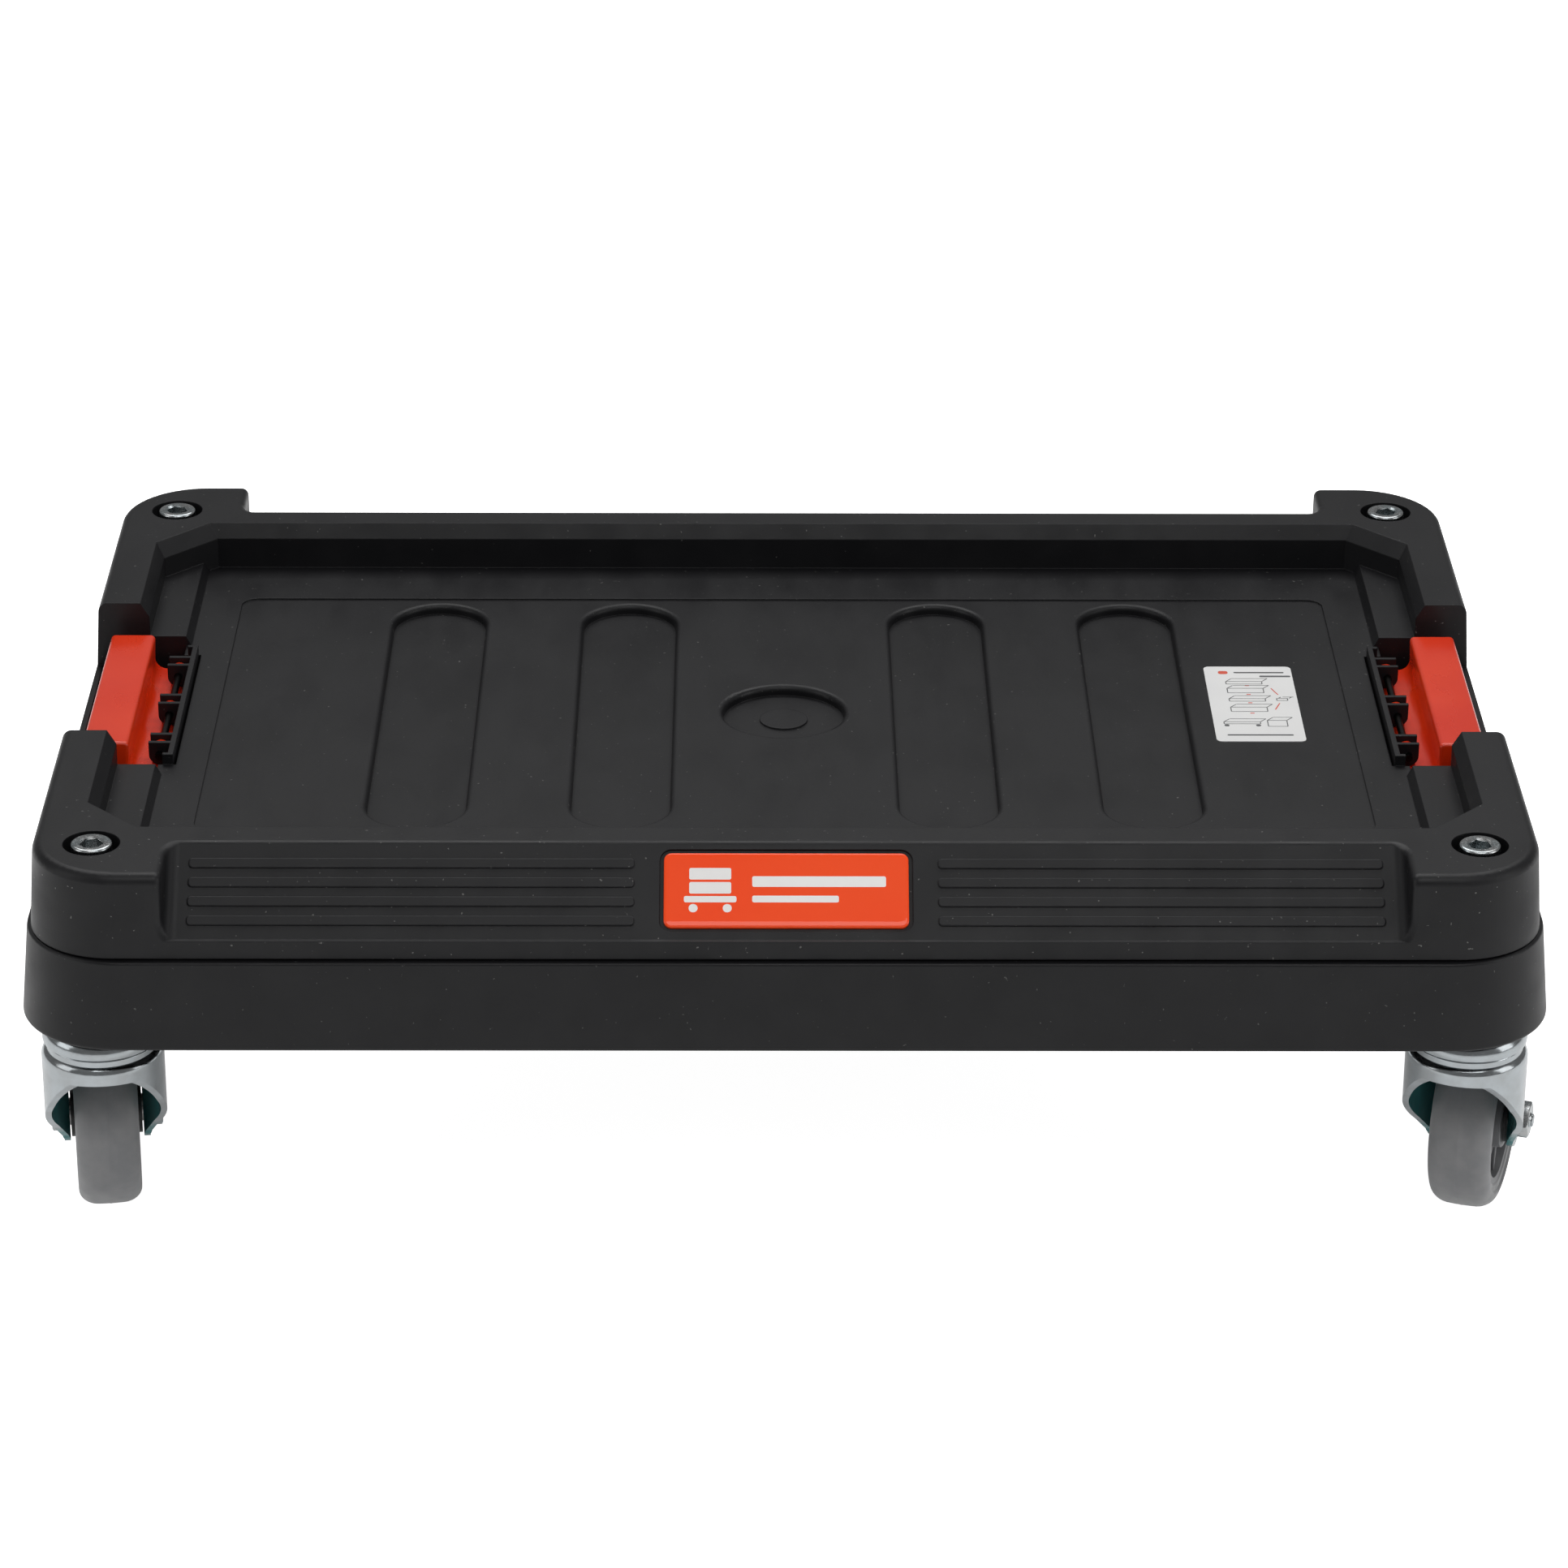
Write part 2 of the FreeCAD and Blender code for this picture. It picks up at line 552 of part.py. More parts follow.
def out_of_slope(place):
    """How far a point stands out of the front or rear sloped panel."""
    angle = math.radians(value("slope_angle"))
    along_y, down = abs(place.y) - value("slope_top_y"), place.z - value("top_z")
    return along_y * math.sin(angle) + down * math.cos(angle)


def slope_prism(name, x_half, end):
    """What is cut away above a sloped panel."""
    points = [
        (f"{end} * slope_top_y", "top_z"),
        (f"{end} * slope_foot_y", "top_z - recess_height"),
        (f"{end} * (half_y + 10)", "top_z - recess_height"),
        (f"{end} * (half_y + 10)", "top_z + 10"),
        (f"{end} * slope_top_y", "top_z + 10"),
    ]
    return prism(name, "YZ", points, both(x_half))


def along_slope(edge):
    """True for the two edges where a sloped panel meets the corner posts."""
    box = edge.BoundBox
    return box.XLength < 0.01 and box.YLength > 1 and box.ZLength > 1


def beside_panel(edge):
    """True for the outer edges of the corner posts beside a sloped panel, and of the rim above it."""
    box = edge.BoundBox
    middle_x, middle_y = abs(box.Center.x), abs(box.Center.y)
    recess_x, skirt_y = value("recess_x"), value("deck_y - deck_draft")
    at_panel = middle_x < recess_x + 0.01 and middle_y > value("slope_top_y") - 0.01
    rim = at_panel and box.ZMin > value("top_z") - 0.01
    at_end = abs(middle_x - recess_x) < 0.01 and box.XLength < 0.01
    post = at_end and middle_y > skirt_y - value("deck_edge") and box.ZLength > value("deck_wall")
    near_end = abs(middle_x - recess_x) < value("deck_wall") and box.ZLength > 1
    foot = near_end and middle_y > skirt_y and box.ZMax < value("floor_z")
    return rim or post or foot


def shelf(name, side, end):
    """The raised shelf between a latch well and a tray corner."""
    inner = "tray_x - shelf_width - shelf_slope"
    points = [
        (f"{side} * ({inner})", "floor_z"),
        (f"{side} * ({inner} + shelf_slope)", "floor_z + shelf_height"),
        (f"{side} * (tray_x + 1)", "floor_z + shelf_height"),
        (f"{side} * (tray_x + 1)", "floor_z - 1"),
        (f"{side} * ({inner})", "floor_z - 1"),
    ]
    span = ("well_half", "tray_y + 1") if end == "1" else ("-(tray_y + 1)", "-well_half")
    return prism(name, "XZ", points, span)


def deck_cavities():
    """Everything that is hollow under the deck, kept one wall inside its skin."""
    core = rounded_shell(
        "DeckCore",
        ("deck_x - deck_wall", "deck_y - deck_wall"),
        ("deck_x - deck_wall - deck_draft", "deck_y - deck_wall - deck_draft"),
        ("seam_z - 1", "top_z - deck_wall"),
        "deck_radius - deck_wall",
    )
    z_span = ("seam_z - 1", "top_z")
    inside_x = "tray_x + deck_wall + hollow_inset"
    inside_y = "tray_y + deck_wall + hollow_inset"
    hollows = [
        block(
            "FloorHollow",
            both("bar_x - bar_thickness - deck_wall"),
            both("tray_y - 1"),
            ("seam_z - 1", "floor_z - deck_wall"),
        )
    ]
    for side_name, side in SIDES.items():
        for end_name, end in ENDS.items():
            tag = side_name.title() + end_name.title()
            hollows.append(
                block(
                    "SideHollow" + tag,
                    mirrored_span(side, inside_x, "half_x"),
                    mirrored_span(end, "well_half + deck_wall", "half_y"),
                    z_span,
                )
            )
            hollows.append(
                block(
                    "PostHollow" + tag,
                    mirrored_span(side, "recess_x + deck_wall + 1", "half_x"),
                    mirrored_span(end, "tray_y + tray_chamfer + deck_wall", "half_y"),
                    z_span,
                )
            )
            outer_y = f"{end} * (tray_y + tray_chamfer + deck_wall + 1)"
            corner = [
                (f"{side} * ({inside_x})", f"{end} * (tray_y - tray_corner_y + corner_inset)"),
                (f"{side} * ({inside_x} + 1)", outer_y),
                (f"{side} * (tray_x - tray_corner_x + corner_start)", outer_y),
            ]
            hollows.append(prism("CornerHollow" + tag, "XY", corner, z_span))
    for end_name, end in ENDS.items():
        skirt_y = f"{end} * (slope_foot_y - deck_wall + skirt_inset)"
        points = [
            (f"{end} * ({inside_y})", "seam_z - 1"),
            (f"{end} * ({inside_y})", "top_z - deck_wall"),
            (f"{end} * (slope_top_y - deck_wall / 2)", "top_z - deck_wall"),
            (f"{end} * (slope_foot_y - deck_wall - slope_inset)", "top_z - recess_height - 1"),
            (skirt_y, "top_z - recess_height - deck_wall - slope_inset"),
            (skirt_y, "seam_z - 1"),
        ]
        slope_half = both("recess_x - deck_wall - 1")
        hollows.append(prism("SlopeHollow" + end_name.title(), "YZ", points, slope_half))
    return common("DeckHollows", core, fuse("DeckHollowSet", hollows))


def latch_well(side_name, side):
    """The tools that open one latch well, and the fin bar that goes back into it."""
    tag = side_name.title()
    z_span = ("seam_z + well_floor", "top_z + 1")
    shelf_edge = "tray_x - shelf_width"
    tools = [
        block(
            "WellMiddle" + tag,
            mirrored_span(side, "bar_x - bar_thickness - 1", "well_wall_x"),
            both("well_inner_half"),
            z_span,
        ),
        block("WellEnds" + tag, mirrored_span(side, shelf_edge, "well_wall_x"), both("well_half"), z_span),
        block(
            "WellSide" + tag,
            mirrored_span(side, "well_wall_x - 1", "half_x + 1"),
            both("well_half"),
            ("seam_z + well_wall_height", "top_z + 1"),
        ),
    ]
    bar_top = "floor_z + shelf_height"
    added = [
        block(
            "FinBar" + tag,
            mirrored_span(side, "bar_x - bar_thickness", "bar_x"),
            both("well_inner_half + 0.01"),
            ("seam_z + well_floor - 0.5", bar_top),
        )
    ]
    for end in ENDS.values():
        added.append(
            block(
                "BarReturn" + tag,
                mirrored_span(side, "bar_x - 0.5", "pin_x - latch_heel - side_gap"),
                mirrored_span(end, "well_inner_half - fin_thickness", "well_inner_half + 0.01"),
                ("seam_z + well_floor - 0.5", bar_top),
            )
        )
    for pair in (-1, 0, 1):
        for end in ENDS.values():
            y = f"{pair} * fin_pitch + {end} * fin_half_gap"
            span = (f"{y} - fin_thickness / 2", f"{y} + fin_thickness / 2")
            fin_x = mirrored_span(side, "bar_x - 0.5", "bar_x + fin_length")
            low = "pin_z - (fin_length - pin_reach)"
            raw = block("Fin" + tag, fin_x, span, (low, bar_top))
            # The lower outer corner is round about the hinge axis, so that the latch's foot clears it.
            corner = block(
                "FinCorner" + tag,
                mirrored_span(side, "pin_x", "bar_x + fin_length + 1"),
                span,
                (f"{low} - 1", "pin_z"),
            )
            round_end = long_rod("FinRound" + tag, "fin_length - pin_reach", f"{side} * pin_x", span, "pin_z")
            added.append(fuse("FinWhole" + tag, [cut("FinCut" + tag, raw, [corner]), round_end]))
    return tools, added


def deck():
    outer = rounded_shell(
        "DeckOuter",
        ("deck_x", "deck_y"),
        ("deck_x - deck_draft", "deck_y - deck_draft"),
        ("seam_z + seam_gap", "top_z"),
        "deck_radius",
    )
    skin = rounded("DeckEdge", outer, "deck_edge", level_at("top_z"))

    tools = [prism("TrayWalls", "XY", octagon("tray_x", "tray_y"), ("floor_z", "top_z + 1")), tray_mouth()]
    for end_name, end in ENDS.items():
        recess = slope_prism("Recess" + end_name.title(), "recess_x", end)
        tools.append(rounded("RecessRound" + end_name.title(), recess, "recess_round", along_slope))
    fins = []
    for side_name, side in SIDES.items():
        well, bar = latch_well(side_name, side)
        tools += well
        fins += bar
    cut_open = cut("DeckCutOpen", skin, tools)
    shell = rounded("DeckShell", cut_open, "post_edge", beside_panel)

    shelves = [
        shelf("Shelf" + side_name.title() + end_name.title(), side, end)
        for side_name, side in SIDES.items()
        for end_name, end in ENDS.items()
    ]
    hollow = cut("DeckHollowed", fuse("DeckWithShelves", [shell] + shelves), [deck_cavities()])

    slots = [f"{side} * {place}" for place in ("slot_inner", "slot_outer") for side in SIDES.values()]
    slot_half = "panel_y - slot_margin"
    under = ("panel_z - slot_depth - deck_wall", "floor_z - 1")
    added = []
    for x in slots:
        added.append(
            stadium("SlotShell", "slot_width + 2 * deck_wall", f"{slot_half} + deck_wall", x, under)
        )
    added.append(cylinder("DishShell", "dish_radius + deck_wall", "0", "0", under))
    half_rib = "rib_thickness / 2"
    rib_z = ("seam_z", "floor_z - 1")
    for number in (-2, -1, 0, 1, 2):
        place = f"{number} * tray_y / 3"
        span = (f"{place} - {half_rib}", f"{place} + {half_rib}")
        added.append(block("DeckLongRib", both("bar_x - bar_thickness - 1"), span, rib_z))
    for number in (-4, -3, -2, -1, 0, 1, 2, 3, 4):
        place = f"{number} * bar_x / 5"
        span = (f"{place} - {half_rib}", f"{place} + {half_rib}")
        added.append(block("DeckCrossRib", span, both("tray_y + 1"), rib_z))
    holes = []
    for side in SIDES.values():
        for end in ENDS.values():
            x, y = f"{side} * bolt_x", f"{end} * bolt_y"
            added.append(cylinder("DeckBoss", "boss_radius", x, y, ("seam_z", "top_z - 1")))
            holes.append(cylinder("BoltHole", "bolt_radius + bolt_hole_gap", x, y, ("seam_z - 1", "top_z")))
            holes.append(cylinder("Counterbore", "counterbore_radius", x, y, ("washer_z", "top_z + 1")))
    whole = fuse("DeckWhole", [hollow] + added)

    panel = block("PanelBlock", both("panel_x"), both("panel_y"), ("panel_z", "floor_z + 0.2"))
    holes.append(rounded("Panel", panel, "panel_radius", upright))
    for x in slots:
        holes.append(stadium("Slot", "slot_width", slot_half, x, ("panel_z - slot_depth", "floor_z")))
    holes.append(cylinder("Dish", "dish_radius", "0", "0", ("panel_z - slot_depth", "floor_z")))
    badge_half = "(badge_width / 2 + badge_gap)"
    pocket = sloped(
        "BadgePocket",
        both("badge_length / 2 + badge_gap"),
        (f"badge_offset - {badge_half}", f"badge_offset + {badge_half}"),
        ("-badge_pocket", "badge_thickness"),
        "-1",
    )
    deep = value("badge_pocket + badge_thickness")

    def pocket_corner(edge):
        return abs(edge.Length - deep) < 0.01

    holes.append(rounded("BadgePocketRound", pocket, "badge_radius + badge_gap", pocket_corner))
    opened = cut("DeckOpened", whole, holes)

    lip = "slot_width / 2"
    reach = value(slot_half) + 0.1
    centres = [value(x) for x in slots]
    at_panel = level_at("panel_z")

    def slot_or_dish(edge):
        box = edge.BoundBox
        near_slot = any(abs(box.Center.x - x) < value(lip) + 0.1 and box.XLength < value("slot_width") + 0.1
                        for x in centres)
        near_dish = abs(box.Center.x) < 0.1 and box.XLength < 2 * value("dish_radius") + 0.1
        return at_panel(edge) and (near_slot or near_dish) and box.YMax < reach and box.YMin > -reach

    lips = rounded("DeckLips", opened, "slot_edge", slot_or_dish)

    button_z = ("panel_z - slot_depth - 1", "panel_z - slot_depth + button_height")
    extras = [cylinder("DishButton", "dish_button", "0", "0", button_z)]
    tall = value("grip_root + grip_proud")

    def grip_corner(edge):
        return abs(edge.Length - tall) < 0.01

    def grip_top(edge):
        return all(abs(out_of_slope(corner.Point) - value("grip_proud")) < 0.01 for corner in edge.Vertexes)

    for end_name, end in ENDS.items():
        for number in range(int(value("grip_count"))):
            middle = f"grip_first + {number} * grip_pitch"
            along = (f"{middle} - grip_width / 2", f"{middle} + grip_width / 2")
            for side in SIDES.values():
                span = mirrored_span(side, "badge_length / 2 + grip_clear", "recess_x - grip_margin")
                bar = sloped("Grip" + end_name.title(), span, along, ("-grip_root", "grip_proud"), end)
                corners_round = rounded("GripRound" + end_name.title(), bar, "grip_round", grip_corner)
                extras.append(rounded("GripEdge" + end_name.title(), corners_round, "grip_edge", grip_top))
    pins = [
        long_rod("PinBore", "pin_radius + running_gap", f"{side} * pin_x", both("pin_length / 2"), "pin_z")
        for side in SIDES.values()
    ]
    node("deck", cut("Deck", fuse("DeckSolid", [lips] + extras + fins), pins))


# ---------------------------------------------------------------- badge and sticker
def badge():
    half = "badge_width / 2"
    plate = sloped(
        "BadgePlate",
        both("badge_length / 2"),
        (f"badge_offset - {half}", f"badge_offset + {half}"),
        ("-badge_pocket", "badge_thickness - badge_pocket"),
        "-1",
    )
    thin = value("badge_thickness")
    corners = rounded("BadgeCorners", plate, "badge_radius", lambda edge: abs(edge.Length - thin) < 0.01)
    node("front_badge", corners)


def sticker():
    plate = block(
        "StickerPlate",
        ("label_x - label_width / 2", "label_x + label_width / 2"),
        ("label_y - label_length / 2", "label_y + label_length / 2"),
        ("panel_z", "panel_z + label_thickness"),
    )
    thin = value("label_thickness")

    def sticker_corner(edge):
        return abs(edge.Length - thin) < 0.01

    node("stacking_label", rounded("Sticker", plate, "badge_radius", sticker_corner))


# ---------------------------------------------------------------- latches
def latch(side_name, side):
    """A flip-up latch: hollow grip block, foot plate and three knuckles round the hinge pin."""
    tag = side_name.title()

    def x_at(reach):
        return f"{side} * (pin_x + {reach})"

    def z_at(rise):
        return f"pin_z + ({rise})"

    foot_top = "latch_plate - latch_bottom"
    section = [
        (x_at("latch_inner"), z_at("latch_top")),
        (x_at("latch_outer"), z_at("latch_top")),
        (x_at("latch_outer"), z_at("-latch_bottom")),
        (x_at("-latch_heel"), z_at("-latch_bottom")),
        (x_at("-latch_heel"), z_at(foot_top)),
        (x_at("latch_inner - latch_sweep_in"), z_at(foot_top)),
        (x_at("latch_inner + latch_sweep_out"), z_at(f"{foot_top} + latch_sweep_rise")),
    ]
    solid = prism("LatchBody" + tag, "XZ", section, both("latch_half"))
    eased = rounded("LatchEased" + tag, solid, "latch_edge", level_at("pin_z + latch_top"))
    hollow_inside = "pin_x + latch_inner + latch_sweep_out + latch_wall"
    hollow = block(
        "LatchHollow" + tag,
        mirrored_span(side, hollow_inside, "pin_x + latch_outer - latch_wall"),
        both("latch_half - latch_wall"),
        ("pin_z - latch_bottom - 1", "pin_z + latch_top - latch_wall"),
    )
    knuckles = []
    knuckle_half = "(fin_half_gap - fin_thickness / 2 - side_gap)"
    for pair in (-1, 0, 1):
        # Each knuckle fills the space between the two fins of a pair.
        span = (f"{pair} * fin_pitch - {knuckle_half}", f"{pair} * fin_pitch + {knuckle_half}")
        barrel = long_rod("Knuckle" + tag, "knuckle_radius", f"{side} * pin_x", span, "pin_z")
        web = block(
            "KnuckleWeb" + tag,
            mirrored_span(side, "pin_x - latch_heel", "pin_x + knuckle_radius"),
            span,
            ("pin_z - latch_bottom + 1", "pin_z"),
        )
        knuckles += [barrel, web]
    bore = long_rod(
        "LatchBore" + tag, "pin_radius + running_gap", f"{side} * pin_x", both("latch_half + 1"), "pin_z"
    )
    whole = fuse("LatchWhole" + tag, [cut("LatchShell" + tag, eased, [hollow])] + knuckles)
    node("latch_" + side_name, cut("Latch" + tag, whole, [bore]))
    pin = long_rod("Pin" + tag, "pin_radius", f"{side} * pin_x", both("pin_length / 2"), "pin_z")
    node("latch_pin_" + side_name, pin)


# ---------------------------------------------------------------- fasteners through deck, frame and castor
def hexagon(name, radius, x, y, z_span):
    item = doc.addObject("Part::Prism", name)
    item.Polygon = 6
    bind(item, Circumradius=radius, Height=f"({z_span[1]}) - ({z_span[0]})")
    return put(item, x, y, z_span[0])


def corners():
    return [(side, end) for end in ENDS.values() for side in SIDES.values()]


def castor_bolts():
    bolts, washers, nuts = [], [], []
    head_low = "washer_z + washer_thickness"
    head_top = f"{head_low} + bolt_head_height"
    for side, end in corners():
        x, y = f"{side} * bolt_x", f"{end} * bolt_y"
        head = cylinder("BoltHead", "bolt_head_radius", x, y, (head_low, head_top))
        eased = rounded("BoltHeadEased", head, "small_edge", level_at(head_top))
        shank = cylinder("BoltShank", "bolt_radius", x, y, ("nut_low - bolt_end", f"{head_low} + 1"))
        socket_z = (f"{head_top} - bolt_socket_depth", f"{head_top} + 1")
        socket = hexagon("BoltSocket", "bolt_socket", x, y, socket_z)
        bolts.append(cut("Bolt", fuse("BoltSolid", [eased, shank]), [socket]))
        disc = cylinder("WasherDisc", "washer_radius", x, y, ("washer_z", head_low))
        bore_z = ("washer_z - 1", f"{head_low} + 1")
        bore = cylinder("WasherBore", "bolt_radius + bolt_hole_gap / 2", x, y, bore_z)
        washers.append(cut("Washer", disc, [bore]))
        body = hexagon("NutBody", "nut_radius", x, y, ("nut_low", "kingpin_low"))
        thread = cylinder("NutThread", "bolt_radius", x, y, ("nut_low - 1", "kingpin_low + 1"))
        nuts.append(cut("Nut", body, [thread]))
    node("castor_bolts", group("CastorBolts", bolts))
    node("bolt_washers", group("BoltWashers", washers))
    node("castor_locknuts", group("CastorLocknuts", nuts))


# ---------------------------------------------------------------- castor, drawn about its swivel axis
def castor_head(tag):
    bottom = "seat_z - head_skirt_depth"
    return lathe(
        "Head" + tag,
        [
            ("kingpin_radius", "seat_z - head_plate"),
            ("kingpin_radius", "seat_z"),
            ("head_radius - small_chamfer", "seat_z"),
            ("head_radius", "seat_z - small_chamfer"),
            ("head_radius", f"{bottom} + small_chamfer"),
            ("head_radius - 1", bottom),
            ("head_radius - head_skirt", bottom),
            ("head_radius - head_skirt", "seat_z - head_track"),
            ("kingpin_radius + 3.5", "seat_z - head_track"),
            ("kingpin_radius + 3.5", "seat_z - head_plate"),
        ],
    )


def kingpin(tag):
    neck = "kingpin_low + kingpin_flange_height"
    return lathe(
        "Kingpin" + tag,
        [
            ("bolt_radius + kingpin_bore_gap", "kingpin_low"),
            ("kingpin_flange", "kingpin_low"),
            ("kingpin_flange", neck),
            ("kingpin_radius", neck),
            ("kingpin_radius", "seat_z"),
            ("bolt_radius + kingpin_bore_gap", "seat_z"),
        ],
    )


def ball_ring(tag):
    count = int(value("ball_count"))
    height = "crown_z + fork_track_height + part_gap + ball_radius"
    balls = []
    for number in range(count):
        turn = f"{number} * 360 / {count}"
        ball = bind(doc.addObject("Part::Sphere", "Ball" + tag), Radius="ball_radius")
        balls.append(put(ball, f"ball_pitch * cos({turn})", f"ball_pitch * sin({turn})", height))
    return group("BallRing" + tag, balls)


def horseshoe(name, inset, z_low, z_tail, z_top):
    """A round crown with two cheeks that run back beside the wheel, as a solid one inset smaller."""
    crown = cylinder(name + "Crown", f"fork_radius - {inset}", "0", "0", (z_low, z_top))
    cheek = f"axle_side - {inset}"
    shoulder = f"fork_radius - 0.6 - {inset}"
    tail_y = "trail + fork_lug + 4"
    points = [
        (f"-({shoulder})", "5"),
        (f"-({cheek})", "trail - fork_flat"),
        (f"-({cheek})", f"{tail_y} + {inset}"),
        (cheek, f"{tail_y} + {inset}"),
        (cheek, "trail - fork_flat"),
        (shoulder, "5"),
    ]
    return fuse(name, [crown, prism(name + "Tail", "XY", points, (z_low, z_tail))])


def fork(tag):
    low = "wheel_radius - fork_lug - 1"
    outer = horseshoe("ForkOuter" + tag, "0", low, "crown_z - fork_back", "crown_z")
    inner = horseshoe(
        "ForkInner" + tag, "fork_sheet", f"{low} - 1", "crown_z - fork_back", "crown_z - fork_sheet"
    )
    shoulder = rounded("ForkShoulder" + tag, outer, "fork_shoulder", level_at("crown_z"))
    shell = cut("ForkShell" + tag, shoulder, [inner])
    # Seen from the side, the cheeks sweep back from the crown to round lugs at the axle.
    side_view = [
        ("-fork_radius - 1", "crown_z + 1"),
        ("fork_radius + 1", "crown_z + 1"),
        ("fork_radius + 1", "crown_z - fork_back - 2"),
        ("trail + fork_lug", "wheel_radius + 2"),
        ("trail - fork_lug + 2", "wheel_radius - 6"),
        ("-fork_leg_reach", "crown_z - fork_leg_drop"),
        ("-fork_arch_reach", "crown_z - fork_arch_drop"),
        ("-fork_radius - 1", "crown_z - fork_front_drop"),
    ]
    reach, drop = -value("fork_leg_reach"), value("crown_z - fork_leg_drop")
    profile = prism("ForkSweep" + tag, "YZ", side_view, both("fork_radius + 2"))

    def arch_corner(edge):
        middle = edge.BoundBox.Center
        return edge.BoundBox.XLength > 1 and abs(middle.y - reach) < 0.01 and abs(middle.z - drop) < 0.01

    arched = rounded("ForkArch" + tag, profile, "fork_arch_round", arch_corner)
    lug = cross_rod("ForkLug" + tag, "fork_lug", both("fork_radius + 2"), "trail", "wheel_radius")
    sweep = fuse("ForkSide" + tag, [arched, lug])
    pressed = common("ForkPressed" + tag, shell, sweep)
    track_z = ("crown_z - 1", "crown_z + fork_track_height")
    track = cylinder("ForkTrack" + tag, "fork_track_radius", "0", "0", track_z)
    eased = rounded("ForkTrackEased" + tag, track, "small_edge", level_at("crown_z + fork_track_height"))
    hole_z = ("crown_z - fork_track_height - 1", "crown_z + fork_track_height + 1")
    king_hole = cylinder("KingHole" + tag, "kingpin_radius + part_gap", "0", "0", hole_z)
    axle_hole = cross_rod("AxleHole" + tag, "axle_radius", both("fork_radius + 2"), "trail", "wheel_radius")
    return cut("Fork" + tag, fuse("ForkWhole" + tag, [pressed, eased]), [king_hole, axle_hole])


def on_axle(name, points):
    """A turned piece about the wheel axle: an outline of (place along the axle, radius)."""
    item = doc.addObject("Part::Revolution", name)
    item.Source = outline(name + "Outline", "XY", points)
    item.Axis = X
    item.Angle = 360
    item.Solid = True
    shifted = [(item.Source, "Placement__Base__"), (item, "Base__")]
    for owner, prefix in shifted:
        bind(owner, **{prefix + "y": "trail", prefix + "z": "wheel_radius"})
    return item


def hex_on_axle(name, x_span):
    item = doc.addObject("Part::Prism", name)
    item.Polygon = 6
    item.Placement = FreeCAD.Placement(ORIGIN, FreeCAD.Rotation(Y, 90))
    bind(item, Circumradius="axle_head_radius", Height=f"({x_span[1]}) - ({x_span[0]})")
    return put(item, x_span[0], "trail", "wheel_radius")


def axle_bolt(tag):
    head = hex_on_axle("AxleHead" + tag, ("-axle_side - axle_head_height", "-axle_side"))
    end = "axle_side + axle_nut_height + axle_end"
    shank = cross_rod("AxleShank" + tag, "axle_radius", ("-axle_side - 1", end), "trail", "wheel_radius")
    return fuse("AxleBolt" + tag, [head, shank])


def axle_nut(tag):
    body = hex_on_axle("AxleNutBody" + tag, ("axle_side", "axle_side + axle_nut_height"))
    bore_x = ("axle_side - 1", "axle_side + axle_nut_height + 1")
    bore = cross_rod("AxleNutBore" + tag, "axle_radius", bore_x, "trail", "wheel_radius")
    return cut("AxleNut" + tag, body, [bore])


def axle_sleeve(tag):
    return on_axle(
        "Sleeve" + tag,
        [
            ("-fork_half_gap", "axle_radius"),
            ("-fork_half_gap", "sleeve_radius"),
            ("fork_half_gap", "sleeve_radius"),
            ("fork_half_gap", "axle_radius"),
        ],
    )


def wheel_bushes(tag):
    bore = "sleeve_radius + running_gap"
    bushes = []
    for side_name, side in SIDES.items():
        flange_out = f"{side} * (hub_half + bush_flange_width)"
        points = [
            (f"{side} * 1.5", bore),
            (f"{side} * 1.5", "bush_radius"),
            (f"{side} * hub_half", "bush_radius"),
            (f"{side} * hub_half", "bush_flange"),
            (flange_out, "bush_flange"),
            (flange_out, bore),
        ]
        bushes.append(on_axle("Bush" + tag + side_name.title(), points))
    return group("WheelBushes" + tag, bushes)


def wheel_core(tag):
    rim_inside = "core_radius - rim_wall"
    right = [
        ("hub_half", "bush_radius"),
        ("hub_half", "hub_radius - 1"),
        ("hub_half - 1", "hub_radius"),
        ("core_web", "hub_radius + small_chamfer"),
        ("core_web", f"{rim_inside} - small_chamfer"),
        ("rim_half", rim_inside),
        ("rim_half", "core_radius"),
    ]
    left = [(f"-({x})", radius) for x, radius in reversed(right)]
    return on_axle("Core" + tag, right + left)


def tyre(tag):
    right = [
        ("rim_half", "core_radius"),
        ("tyre_width / 2", "core_radius + small_chamfer"),
        ("tyre_width / 2", "wheel_radius"),
    ]
    left = [(f"-({x})", radius) for x, radius in reversed(right)]
    band = on_axle("TyreBand" + tag, right + left)
    full = value("wheel_diameter")

    def tread_edge(edge):
        return abs(edge.BoundBox.ZLength - full) < 0.01 and edge.BoundBox.XLength < 0.01

    return rounded("Tyre" + tag, band, "tyre_shoulder", tread_edge)


CASTOR_PIECES = [
    ("castor_head", castor_head),
    ("kingpin", kingpin),
    ("bearing_balls", ball_ring),
    ("fork", fork),
    ("axle_bolt", axle_bolt),
    ("axle_nut", axle_nut),
    ("axle_sleeve", axle_sleeve),
    ("wheel_bushes", wheel_bushes),
    ("wheel_core", wheel_core),
    ("tyre", tyre),
]
# Where each castor stands, and how far its wheel is turned from trailing straight back.
CASTORS = {
    "front_left": ("-1", "-1", 7.8),
    "front_right": ("1", "-1", -18.0),
    "rear_left": ("-1", "1", 172.0),
    "rear_right": ("1", "1", 191.0),
}

